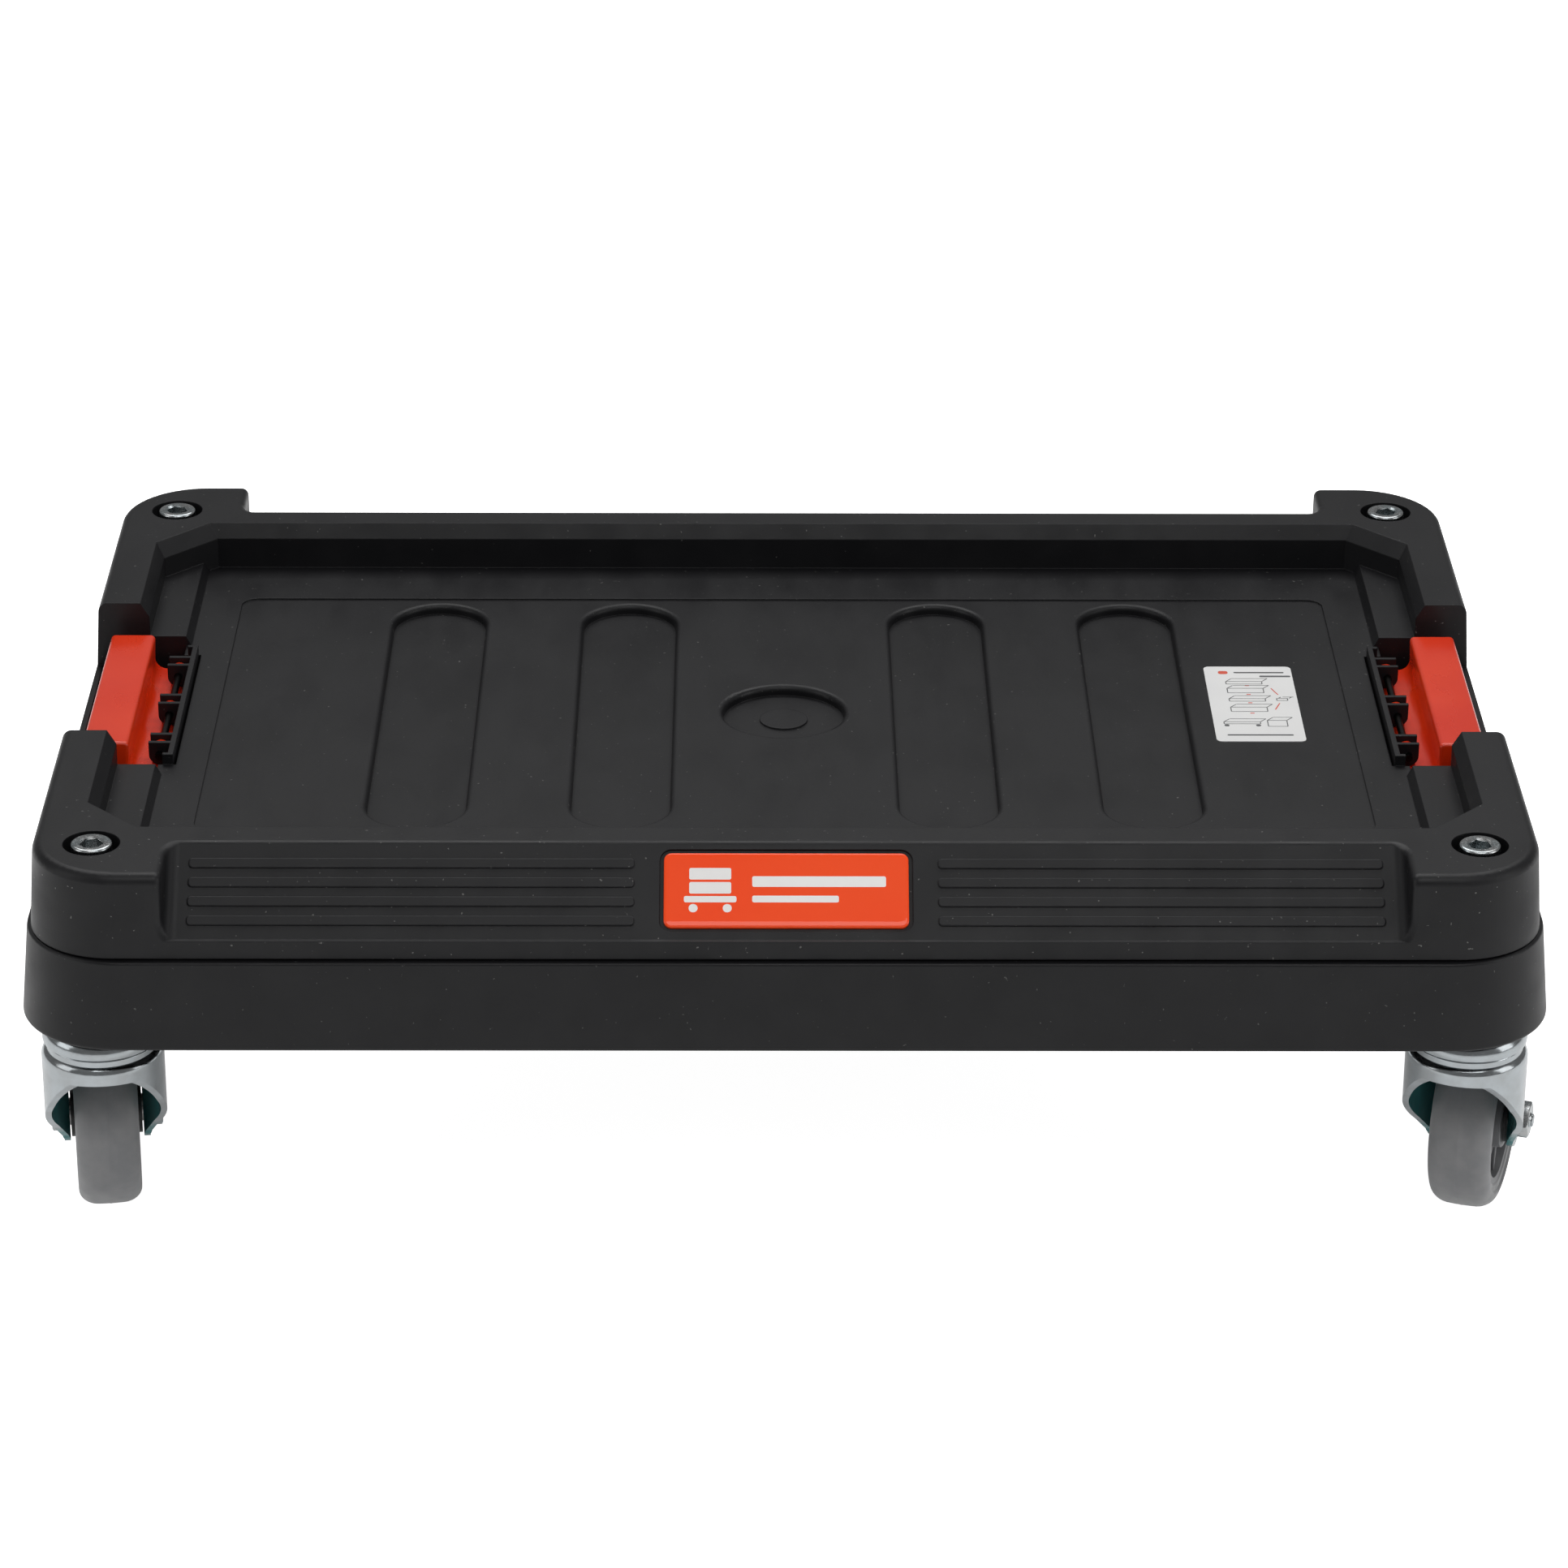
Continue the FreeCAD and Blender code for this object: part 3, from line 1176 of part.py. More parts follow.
base_frame()
deck()
badge()
sticker()
for latch_side, latch_sign in SIDES.items():
    latch(latch_side, latch_sign)
castor_bolts()
for corner_name, (x_sign, y_sign, angle) in CASTORS.items():
    corner_tag = "".join(word.title() for word in corner_name.split("_"))
    for piece_name, make_piece in CASTOR_PIECES:
        piece = make_piece(corner_tag)
        node(f"{piece_name}_{corner_name}", piece, (f"{x_sign} * bolt_x", f"{y_sign} * bolt_y", angle))

doc.recompute()
for item in doc.Objects:
    if "Invalid" in item.State or "Error" in item.State:
        raise RuntimeError(f"{item.Label} failed: {item.State}")
for piece in NODES:
    if piece.Shape.isNull() or not piece.Shape.isValid() or not piece.Shape.Solids:
        raise RuntimeError(f"{piece.Label} has no valid solid")

os.makedirs("parts", exist_ok=True)
for piece in NODES:
    piece.Shape.exportStep(f"parts/{piece.Label}.step")
    box = piece.Shape.BoundBox
    print(f"{piece.Label}: {len(piece.Shape.Solids)} solid(s), {piece.Shape.Volume:.0f} mm3, "
          f"{box.XLength:.1f} x {box.YLength:.1f} x {box.ZLength:.1f}")
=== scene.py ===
# %% [markdown]
# # A transport dolly for stacking toolboxes
# The real thing is a black moulded tray on a black moulded base frame. Four long cap screws clamp
# the two together and carry a swivel castor each, and a red latch at each end holds the lowest box.
# The frame below is the measured model, one mesh to a part. It is fixed: parts that already have
# the right shape only get a finish, and parts that need finer shape are modelled anew in their place.

# %% Load the measured frame
import math

import bmesh
import bpy
from mathutils import Matrix, Vector


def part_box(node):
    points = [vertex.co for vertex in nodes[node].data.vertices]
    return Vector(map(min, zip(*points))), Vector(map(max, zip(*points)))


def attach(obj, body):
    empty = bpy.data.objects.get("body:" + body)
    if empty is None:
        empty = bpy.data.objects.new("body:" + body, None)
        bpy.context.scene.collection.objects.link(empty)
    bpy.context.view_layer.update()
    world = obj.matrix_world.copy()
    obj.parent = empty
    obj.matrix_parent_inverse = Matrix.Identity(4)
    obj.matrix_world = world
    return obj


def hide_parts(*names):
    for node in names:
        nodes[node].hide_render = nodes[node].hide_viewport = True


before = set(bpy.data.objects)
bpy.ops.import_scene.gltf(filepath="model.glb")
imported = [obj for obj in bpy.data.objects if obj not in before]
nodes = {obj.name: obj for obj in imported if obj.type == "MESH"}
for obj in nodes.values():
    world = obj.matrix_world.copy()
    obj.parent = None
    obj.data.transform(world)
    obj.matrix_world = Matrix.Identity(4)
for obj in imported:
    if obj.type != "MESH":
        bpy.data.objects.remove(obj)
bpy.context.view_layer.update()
MM = 0.001

# %% [markdown]
# ## Where the eye stands
# Furniture on castors is best shown from a little above standing height and from far away, with a
# long lens, so that the tray reads as a rectangle and the sides hardly converge. A long lens could
# be faked with an orthographic camera, but then the far rim would look as wide as the near one.
# The camera's three axes are written out from its turn, its tilt and a slight lean.

# %% Camera
LENS, SENSOR, FAR_END = 122.71, 36, 50
STAND = Vector((-14.2, -2010.3, 1054.6)) * MM
turn, tilt, lean = (math.radians(angle) for angle in (0.412, 25.04, -0.244))
ahead = Vector((math.sin(turn) * math.cos(tilt), math.cos(turn) * math.cos(tilt), -math.sin(tilt)))
level_right = Vector((math.cos(turn), -math.sin(turn), 0))
level_down = ahead.cross(level_right)
to_right = level_right * math.cos(lean) + level_down * math.sin(lean)
to_down = level_down * math.cos(lean) - level_right * math.sin(lean)
facing = Matrix((to_right, -to_down, -ahead)).transposed().to_4x4()

camera_data = bpy.data.cameras.new("studio_camera")
camera_data.lens = LENS
camera_data.sensor_width = SENSOR
camera_data.clip_end = FAR_END
camera = bpy.data.objects.new("studio_camera", camera_data)
bpy.context.scene.collection.objects.link(camera)
camera.matrix_world = Matrix.Translation(STAND) @ facing
bpy.context.scene.camera = camera
print("camera", [round(v, 3) for v in STAND], "m, lens", LENS, "mm")

# %% [markdown]
# ## The studio
# A product on white is lit by large soft sources: a wide panel overhead that draws a sheen on the
# level faces, a front panel that opens up the slope and the skirts, and two side panels that draw
# thin bright lines along rounded edges. Small lamps would give black plastic hard hot spots, so
# every light here is an area lamp of a metre or so, and a pale sky fills the shadows. The standard
# view transform keeps white paper white.

# %% Light and floor
SKY_STRENGTH, FLOOR_SIZE = 0.22, 24
AIM = Vector((0, 0, 0.1))
# Each panel's place in metres, its width and depth in metres, and its watts.
PANELS = {
    "overhead_panel": ((0.0, 0.9, 1.9), 2.4, 1.2, 27),
    "left_panel": ((-2.0, -0.7, 1.0), 1.0, 1.4, 6),
    "right_panel": ((2.0, -0.7, 0.9), 1.0, 1.4, 8),
    "front_panel": ((0.2, -1.5, 2.3), 2.0, 1.0, 17),
}
scene = bpy.context.scene
scene.view_settings.view_transform = "Standard"

world = bpy.data.worlds.new("studio_sky")
world.use_nodes = True
sky = world.node_tree.nodes["Background"]
sky.inputs["Color"].default_value = (1, 1, 1, 1)
sky.inputs["Strength"].default_value = SKY_STRENGTH
scene.world = world

for name, (place, width, depth, watts) in PANELS.items():
    panel = bpy.data.lights.new(name, "AREA")
    panel.shape, panel.size, panel.size_y, panel.energy = "RECTANGLE", width, depth, watts
    lamp = bpy.data.objects.new(name, panel)
    scene.collection.objects.link(lamp)
    lamp.location = place
    lamp.rotation_euler = (AIM - Vector(place)).to_track_quat("-Z", "Y").to_euler()

bpy.ops.object.select_all(action="DESELECT")
bpy.ops.mesh.primitive_plane_add(size=FLOOR_SIZE)
floor = bpy.context.object
floor.name = "studio_floor"
print("studio:", len(PANELS), "soft panels over a plain floor")

# %% [markdown]
# ## How every finish is written
# A colour is picked on a screen as an sRGB hex value, but the renderer works in linear light, so
# one function converts it. Another adds a shader node together with its settings and its links.
# Uniform values go straight on the shader; only what varies over the surface comes through nodes.


# %% Colour and node helpers
def linear(hex_colour, alpha=1.0):
    """An sRGB hex colour as the linear values that Blender wants."""
    channels = [int(hex_colour[i:i + 2], 16) / 255 for i in (1, 3, 5)]
    return (*[c / 12.92 if c <= 0.04045 else ((c + 0.055) / 1.055) ** 2.4 for c in channels], alpha)


def add_node(tree, kind, inputs=None, **settings):
    """Adds a node. Each input is a number, a colour or the output socket that feeds it."""
    made = tree.nodes.new(kind)
    for name, setting in settings.items():
        setattr(made, name, setting)
    for name, given in (inputs or {}).items():
        if isinstance(given, bpy.types.NodeSocket):
            tree.links.new(given, made.inputs[name])
        else:
            made.inputs[name].default_value = given
    return made


def new_finish(name, **surface):
    """A material with uniform values on its shader; gives the material, its tree and its shader."""
    material = bpy.data.materials.new(name)
    material.use_nodes = True
    shader = material.node_tree.nodes["Principled BSDF"]
    for socket, given in surface.items():
        shader.inputs[socket.replace("_", " ")].default_value = given
    return material, material.node_tree, shader


# %% [markdown]
# ## Patterns measured in millimetres
# Grain, dust and streaks are all noise of some real size. An image could be wrapped round the part
# instead, but it would repeat and stretch, while noise in the part's own coordinates stays put and
# keeps its scale. A pattern feeds a roughness, a colour or the relief of the surface.


# %% Pattern helpers
def pattern(tree, size, stretch=(1, 1, 1), detail=3.0, roughness=0.5):
    """Noise whose blobs are about this many millimetres across; a stretch above 1 squeezes an axis."""
    place = add_node(tree, "ShaderNodeTexCoord")
    mapped = add_node(tree, "ShaderNodeMapping", {"Vector": place.outputs["Object"], "Scale": stretch})
    settings = {"Vector": mapped.outputs["Vector"], "Scale": 1 / (size * MM), "Detail": detail,
                "Roughness": roughness}
    return add_node(tree, "ShaderNodeTexNoise", settings).outputs["Fac"]


def spread(tree, source, low, high, start=0.35, end=0.65):
    """Stretches the middle of a pattern onto the range from low to high."""
    settings = {"Value": source, "From Min": start, "From Max": end, "To Min": low, "To Max": high}
    return add_node(tree, "ShaderNodeMapRange", settings).outputs["Result"]


def blend_colours(tree, share, first, second):
    """A colour between two hex colours, or colour sockets, by a share."""
    a, b = (linear(c) if isinstance(c, str) else c for c in (first, second))
    return add_node(tree, "ShaderNodeMix", {0: share, 6: a, 7: b}, data_type="RGBA").outputs[2]


def relief(tree, shader, height, millimetres, under=None):
    """Feeds the shader's normal from a height pattern of this depth; under is relief below it."""
    settings = {"Height": height, "Distance": millimetres * MM}
    if under:
        settings["Normal"] = under
    bumped = add_node(tree, "ShaderNodeBump", settings)
    tree.links.new(bumped.outputs["Normal"], shader.inputs["Normal"])
    return bumped.outputs["Normal"]


# %% [markdown]
# ## Moulded plastics
# Polypropylene is moulded against spark-eroded steel, which leaves a fine even grain and a satin
# gloss. A wide, faint mottling comes from how the melt flowed, and handling leaves a few pale
# specks and rubbed patches. Glossy ABS has almost no grain but shows slight waviness. The grain of
# the real mould is 0.2 mm; it is drawn at 0.8 mm, because finer would vanish from this distance.
# All of them are one recipe with other numbers, so one function writes them all.

# %% A family of moulded plastics
MELT_FLOW, DUST_SPECK, RUBBED_PATCH, WAVE, WAVE_DEPTH = 55, 1.6, 18, 30, 0.10
DUST_COLOUR = "#B9B8B4"


def moulded(name, dark, light, gloss, grain, depth, specks=0.0, edge=0.0, **surface):
    """A moulded plastic: two near colours, a roughness range, the grain and its depth in
    millimetres, how much dust shows, and how far the shader rounds sharp edges."""
    material, tree, shader = new_finish(name, **surface)
    cloud = spread(tree, pattern(tree, MELT_FLOW, detail=4), 0, 1)
    colour = blend_colours(tree, cloud, dark, light)
    if specks:
        dust = spread(tree, pattern(tree, DUST_SPECK, detail=1), 0, specks, 0.76, 0.80)
        colour = blend_colours(tree, dust, colour, DUST_COLOUR)
    tree.links.new(colour, shader.inputs["Base Color"])
    rubbed = spread(tree, pattern(tree, RUBBED_PATCH, (1, 0.35, 1), detail=5), *gloss)
    tree.links.new(rubbed, shader.inputs["Roughness"])
    fine = pattern(tree, grain, detail=2)
    soft = None
    if edge:
        soft = add_node(tree, "ShaderNodeBevel", {"Radius": edge * MM}, samples=6).outputs["Normal"]
    wave = relief(tree, shader, pattern(tree, WAVE, detail=1), WAVE_DEPTH, under=soft)
    relief(tree, shader, fine, depth, under=wave)
    print(name, "grain", grain, "mm")
    return material


# Polypropylene for the tray: charcoal black, satin, with the most dust because it faces up.
deck_plastic = moulded("polypropylene_black_spark_eroded", "#131315", "#161618", (0.38, 0.50), 0.8, 0.02,
                       specks=0.22, edge=0.6, IOR=1.49, Specular_IOR_Level=0.30)
# Polypropylene for the frame: the same polymer from a smoother mould, so a little glossier.
frame_plastic = moulded("polypropylene_black_satin", "#121214", "#151517", (0.36, 0.46), 0.8, 0.015,
                        specks=0.12, edge=0.6, IOR=1.49, Specular_IOR_Level=0.30)
# ABS for the latches: saturated orange red with a polished mould's gloss.
latch_plastic = moulded("abs_red_polished", "#D62C06", "#DE360A", (0.24, 0.32), 1.2, 0.006,
                        IOR=1.54, Coat_Weight=0.25, Coat_Roughness=0.12)
# Acetal for the wheel bushes: black, slippery, slightly waxy.
bush_plastic = moulded("acetal_black", "#121213", "#19191A", (0.30, 0.40), 0.8, 0.01, IOR=1.48)
# Polypropylene for the wheel core: mid grey, satin.
core_plastic = moulded("polypropylene_grey", "#66676A", "#707173", (0.38, 0.50), 0.8, 0.02, IOR=1.49)

# %% [markdown]
# ## Rubber tyre
# The tyre is a grey thermoplastic rubber that leaves no marks. It is nearly matt, its tread picks
# up a film of floor dust, and the tool leaves it slightly uneven. The dust is a paler grey laid on
# in soft patches, rougher than the clean rubber. One flat grey would look like paper, so a little
# sheen stands for the fine bloom on its surface.

# %% Thermoplastic rubber
tyre_rubber, tree, shader = new_finish("thermoplastic_rubber_grey", IOR=1.50, Sheen_Weight=0.15,
                                       Sheen_Roughness=0.5)
dusty = spread(tree, pattern(tree, 9, detail=6), 0, 1)
tree.links.new(blend_colours(tree, dusty, "#727375", "#7C7C7D"), shader.inputs["Base Color"])
tree.links.new(spread(tree, pattern(tree, 6, detail=4), 0.36, 0.50), shader.inputs["Roughness"])
relief(tree, shader, pattern(tree, 1.0, detail=2), 0.02)
print("thermoplastic_rubber_grey, dust in patches of 9 mm")

# %% [markdown]
# ## Zinc and steel
# The castors are pressed from sheet, drawn into shape and bright zinc plated with a blue
# passivation. Drawing stretches the sheet, so its reflections run in soft streaks; the plating is
# uneven, which tints it from silver to faint blue. Fasteners are the same plating on machined
# steel, and bearing balls are plain polished steel. Metals keep the default index of refraction.
# Between the bent legs the blue passivation looks deep teal in the shade. That shaded teal is painted
# on as colour, with less metal so that it shows: this is painted shade. It goes on the faces that
# look back at the castor's swivel axis, which are the inner ones.

# %% A family of metals
TINT_PATCH, DENT, DENT_DEPTH = 7, 9, 0.03
INNER_FACES = (-12 * MM, -8 * MM)
# Painted shade for the fork's inner faces: the teal they show in shade, and the lower metallic it needs.
SHADED_INSIDE_TEAL, SHADED_INSIDE_METALLIC = "#3F7F80", 0.25


def plated(name, pale, tint, gloss, streak, depth, axis=None):
    """A plated metal: two colours, a roughness range, the streaks and their depth in millimetres.
    With an upright axis, faces that look at the axis get painted shade: a dark teal with less metal."""
    material, tree, shader = new_finish(name, Metallic=1.0)
    patchy = spread(tree, pattern(tree, TINT_PATCH, detail=4), 0, 1)
    colour = blend_colours(tree, patchy, pale, tint)
    if axis:
        place = add_node(tree, "ShaderNodeTexCoord")
        centred = add_node(tree, "ShaderNodeMapping",
                           {"Vector": place.outputs["Object"], "Location": -axis, "Scale": (1, 1, 0)})
        facing_out = add_node(tree, "ShaderNodeVectorMath",
                              {0: centred.outputs["Vector"], 1: place.outputs["Normal"]},
                              operation="DOT_PRODUCT").outputs["Value"]
        # Painted shade: faces that look back at the swivel axis are coloured teal and made less metallic.
        colour = blend_colours(tree, spread(tree, facing_out, 1, 0, *INNER_FACES), colour, SHADED_INSIDE_TEAL)
        metallic = spread(tree, facing_out, SHADED_INSIDE_METALLIC, 1, *INNER_FACES)
        tree.links.new(metallic, shader.inputs["Metallic"])
    tree.links.new(colour, shader.inputs["Base Color"])
    drawn = pattern(tree, streak, (1, 1, 6), detail=4)
    tree.links.new(spread(tree, drawn, *gloss), shader.inputs["Roughness"])
    dents = relief(tree, shader, pattern(tree, DENT, detail=1), DENT_DEPTH)
    relief(tree, shader, drawn, depth, under=dents)
    print(name, "streaks", streak, "mm")
    return material


# Bright zinc with blue passivation on pressed sheet: silver with a faint cold tint.
SHEET_LOOK = {"pale": "#A2A6A8", "tint": "#ACB2B5", "gloss": (0.12, 0.24), "streak": 3.0, "depth": 0.008}
zinc_sheet = plated("zinc_plated_sheet_painted_shade_blue_passivated", **SHEET_LOOK)
# The same plating on machined screws and nuts: brighter and finer.
zinc_screw = plated("zinc_plated_machined_steel", "#B4B5B5", "#A5AEB1", (0.16, 0.30), 1.2, 0.006)
# Plain ground steel for the spacer sleeves.
ground_steel = plated("steel_ground", "#B4B3B0", "#A7A8A8", (0.24, 0.34), 1.0, 0.006)
# Oxide-blackened steel for the hinge pins, which hardly show between the fins.
black_steel = plated("steel_black_oxide", "#1B1A1A", "#242322", (0.34, 0.46), 1.0, 0.006)
# Polished chrome steel for the balls.
ball_steel = plated("chrome_steel_polished", "#CFCFCE", "#C6C7C8", (0.07, 0.13), 2.0, 0.002)

# %% [markdown]
# ## Badge and sticker
# The badge is a printed plate under a dome of clear casting resin, so the colour sits below a thick
# mirror-smooth coat. The dome could be clear glass over a coloured plate, but a coat on the colour
# gives the same glint without noise. The sticker is matt white vinyl film, printed with thin inks.

# %% Resin and film
badge_resin = moulded("polyurethane_resin_dome_orange", "#FF480E", "#FF4E14", (0.30, 0.36), 2.0, 0.002,
                      IOR=1.50, Specular_IOR_Level=0.15, Coat_Weight=0.7, Coat_Roughness=0.03)
label_film = moulded("vinyl_film_white_matt", "#DADADA", "#E0E0DF", (0.45, 0.55), 1.0, 0.004, IOR=1.50)
# The white ink shows through the same clear dome, so it carries the dome's gloss.
emblem_ink = moulded("screen_ink_white_under_resin", "#F2F0EE", "#F6F4F2", (0.32, 0.38), 2.0, 0.002,
                     IOR=1.50, Coat_Weight=1.0, Coat_Roughness=0.03)
# Sticker inks: matt, printed thin, so the film's unevenness shows in them.
ink_grey = moulded("sticker_ink_dark_grey", "#4A4B4C", "#5A5B5C", (0.45, 0.55), 1.0, 0.004, IOR=1.50)
ink_red = moulded("sticker_ink_red", "#C8452F", "#D2543D", (0.45, 0.55), 1.0, 0.004, IOR=1.50)

# %% [markdown]
# ## Dressing the measured parts
# Each part of the frame takes the finish of its own kind, told by how its name starts. A fork gets
# a finish of its own, because the painted teal shade on its inner faces is told from its own swivel axis.

# %% Finishes on the frame's parts
FINISHES = {
    "deck": deck_plastic, "base_frame": frame_plastic, "front_badge": badge_resin,
    "stacking_label": label_film, "latch_pin": black_steel, "latch": latch_plastic,
    "castor_bolts": zinc_screw, "bolt_washers": zinc_screw, "castor_locknuts": zinc_screw,
    "castor_head": zinc_sheet, "kingpin": zinc_sheet, "bearing_balls": ball_steel, "fork": zinc_sheet,
    "axle_bolt": zinc_screw, "axle_nut": zinc_screw, "axle_sleeve": ground_steel,
    "wheel_bushes": bush_plastic, "wheel_core": core_plastic, "tyre": tyre_rubber,
}
kinds = sorted(FINISHES, key=len, reverse=True)


def swivel_axis(corner):
    """Where a castor's swivel axis meets the floor, from the box of its head."""
    lowest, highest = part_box(f"castor_head_{corner}")
    return Vector(((lowest[0] + highest[0]) / 2, (lowest[1] + highest[1]) / 2, 0))


for name, part in nodes.items():
    kind = next(kind for kind in kinds if name.startswith(kind))
    finish = FINISHES[kind]
    # A fork's own finish paints teal shade on the faces between its legs.
    if kind == "fork":
        axis = swivel_axis(name.removeprefix("fork_"))
        finish = plated(f"zinc_plated_sheet_painted_shade_{name}", axis=axis, **SHEET_LOOK)
    part.data.materials.clear()
    part.data.materials.append(finish)
print("dressed", len(nodes), "parts")

# %% [markdown]
# ## Where each castor stands
# The four castors are the same piece at four places, each swung to its own angle. A castor is drawn
# once, with its swivel axis at the origin and its axle along X, and copied to each corner. A linked
# copy would save memory, but each piece needs its own mesh because its place is in its mesh.

# %% Castor places
SWUNG = {"front_left": 7.8, "front_right": -18.0, "rear_left": 172.0, "rear_right": 191.0}
TRAIL, WHEEL_RADIUS = 30.0, 37.5
AXLE = Matrix.Translation(Vector((0, TRAIL, WHEEL_RADIUS)) * MM)
CASTORS = {}
for corner, degrees in SWUNG.items():
    swivel = swivel_axis(corner)
    CASTORS[corner] = Matrix.Translation(swivel) @ Matrix.Rotation(math.radians(degrees), 4, "Z")
    print(corner, "swivel axis at", [round(v / MM, 1) for v in swivel], "mm, swung", degrees, "degrees")

# %% [markdown]
# ## How the new pieces are shaped
# Every piece starts as a primitive and is worked on in edit mode. A turned piece is drawn as half its
# outline and spun round its axis. A moulded or folded one is an outline pushed out to its length.
# The alternative is to cut everything from solid blocks, which gives no smooth arcs in an outline.
# An outline is drawn by extruding one vertex from point to point, as a pen would.

# %% Drawing an outline
SAME_POINT = 0.002 * MM


def start(name):
    """A new piece as one vertex at the origin, in edit mode, with nothing else selected."""
    bpy.ops.object.select_all(action="DESELECT")
    bpy.ops.mesh.primitive_plane_add(size=MM)
    piece = bpy.context.object
    piece.name = piece.data.name = name
    bpy.ops.object.mode_set(mode="EDIT")
    bpy.ops.mesh.select_mode(type="VERT")
    bpy.ops.mesh.select_all(action="SELECT")
    bpy.ops.mesh.merge(type="CENTER")
    return piece


def draw(points):
    """Draws a closed outline through points in millimetres, by extruding the one vertex along it."""
    bpy.ops.transform.translate(value=Vector(points[0]) * MM)
    for before, after in zip(points, [*points[1:], points[0]]):
        step = (Vector(after) - Vector(before)) * MM
        bpy.ops.mesh.extrude_vertices_move(TRANSFORM_OT_translate={"value": step})
    bpy.ops.mesh.select_all(action="SELECT")
    bpy.ops.mesh.remove_doubles(threshold=SAME_POINT)


def arc(middle_a, middle_b, radius, start_angle, end_angle, steps=6):
    """Points on an arc as pairs, with the angles in degrees."""
    turns = [math.radians(start_angle + (end_angle - start_angle) * i / steps) for i in range(steps + 1)]
    return [(middle_a + radius * math.cos(t), middle_b + radius * math.sin(t)) for t in turns]


# %% Spinning or pushing the outline
def done(piece, angle=35):
    """Turns all faces outward, leaves edit mode and shades smooth up to an angle."""
    bpy.ops.mesh.select_all(action="SELECT")
    bpy.ops.mesh.normals_make_consistent(inside=False)
    bpy.ops.object.mode_set(mode="OBJECT")
    bpy.ops.object.shade_smooth_by_angle(angle=math.radians(angle))
    print(piece.name, len(piece.data.polygons), "faces, size",
          [round(v / MM, 1) for v in piece.dimensions], "mm")
    return piece


def turned(name, points, axis, steps=64, angle=35):
    """A turned piece: a closed outline spun once round the X or Z axis."""
    piece = start(name)
    draw(points)
    bpy.ops.mesh.spin(steps=steps, angle=math.tau, center=(0, 0, 0), axis=axis)
    bpy.ops.mesh.select_all(action="SELECT")
    bpy.ops.mesh.remove_doubles(threshold=SAME_POINT)
    bpy.ops.mesh.dissolve_degenerate(threshold=SAME_POINT / 2)
    return done(piece, angle)


def pushed(name, points, along, angle=35):
    """A closed outline filled and pushed out along a vector in millimetres."""
    piece = start(name)
    draw(points)
    bpy.ops.mesh.edge_face_add()
    bpy.ops.mesh.extrude_region_move(TRANSFORM_OT_translate={"value": Vector(along) * MM})
    return done(piece, angle)


# %% Copying a piece and putting it in place
def copy_at(piece, name, matrix):
    """A copy with its own mesh, moved by a matrix."""
    copy = piece.copy()
    copy.data = piece.data.copy()
    copy.name = copy.data.name = name
    scene.collection.objects.link(copy)
    copy.data.transform(matrix)
    return copy


def take_place(piece, body, slot, finish, *old):
    """Gives a piece its body and its finish, and puts it in the place of frame parts; the slot is not used.
    """
    piece.data.materials.clear()
    piece.data.materials.append(finish)
    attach(piece, body)
    if old:
        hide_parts(*old)


def on_castors(piece, name, body, slot, finish, old):
    """Copies a piece to the four castors and removes the original. Body root is the same for all."""
    for corner, place in CASTORS.items():
        copy = copy_at(piece, f"{name}_{corner}", place)
        take_place(copy, body if body == "root" else f"{body}_{corner}", slot, finish, f"{old}_{corner}")
    bpy.data.objects.remove(piece)
    print(name, "on", len(CASTORS), "castors")


# %% [markdown]
# ## Castor heads
# The head is drawn from sheet: a flat flange under the frame, and below it a bulged ring that wraps
# the balls. The bulge turns from facing up to facing down, so it mirrors lamps, horizon and floor.
# It is spun from its section, the way it was pressed round its own axis. A chamfered disc would be
# quicker, but it would mirror one tone only.

# %% Drawn castor heads
BALL_RING, BALL_LEVEL, OUTSIDE, INSIDE = 17.0, 88.2, 6.1, 5.0
section = [
    (8.0, 97.0), (8.0, 100.0), (22.1, 100.0), (22.5, 99.6), (22.5, 98.7), (22.1, 98.3), (16.4, 98.0),
    (15.8, 97.2),
    *arc(BALL_RING, BALL_LEVEL, OUTSIDE, 100, -12, 20), *arc(BALL_RING, BALL_LEVEL, INSIDE, -14, 95, 14),
    (11.5, 92.9), (11.5, 97.0),
]
head = turned("drawn_head", [(radius, 0, z) for radius, z in section], (0, 0, 1), 72)
on_castors(head, "drawn_head", "root", "zinc_steel", zinc_sheet, "castor_head")

# %% [markdown]
# ## Tyres
# The tyre is moulded on its core in a two-part tool, so a fine parting line runs round the middle of
# the tread. The tread is crowned, its shoulders are wide arcs that end in a thin lip, and the side
# face lies a little below that lip. Arcs in the section give the shoulder its soft highlight, which
# a bevelled cylinder would not.

# %% Rubber tyres
SHOULDER_SIDE, SHOULDER_LEVEL, SHOULDER_REACH, SHOULDER_RISE = 4.8, 31.2, 7.7, 6.1
shoulder = [(SHOULDER_SIDE + SHOULDER_REACH * math.cos(math.radians(t)),
             SHOULDER_LEVEL + SHOULDER_RISE * math.sin(math.radians(t))) for t in range(0, 91, 9)]
lip = [(11.0, 27.5), (11.5, 28.1), (11.7, 30.4), (12.2, 30.8)]
tread = [(2.4, 37.4), (0.5, 37.42), (0.28, WHEEL_RADIUS)]
right_side = [*lip, *shoulder, *tread]
section = right_side + [(-x, radius) for x, radius in reversed(right_side)]
tyre = turned("rubber_tyre", [(x, 0, radius) for x, radius in section], (1, 0, 0), 96, 30)
tyre.data.transform(AXLE)
on_castors(tyre, "rubber_tyre", "wheel", "tyre_rubber", tyre_rubber, "tyre")


# %% [markdown]
# ## Wheel cores
# The core is injection moulded with thin walls: a hub tube, a rim and a thin disc between them,
# stiffened by ribs on both sides. A solid disc would sink as it cooled. The ribs are one bar copied
# round the axle by turning it in steps, then joined to the spun disc.

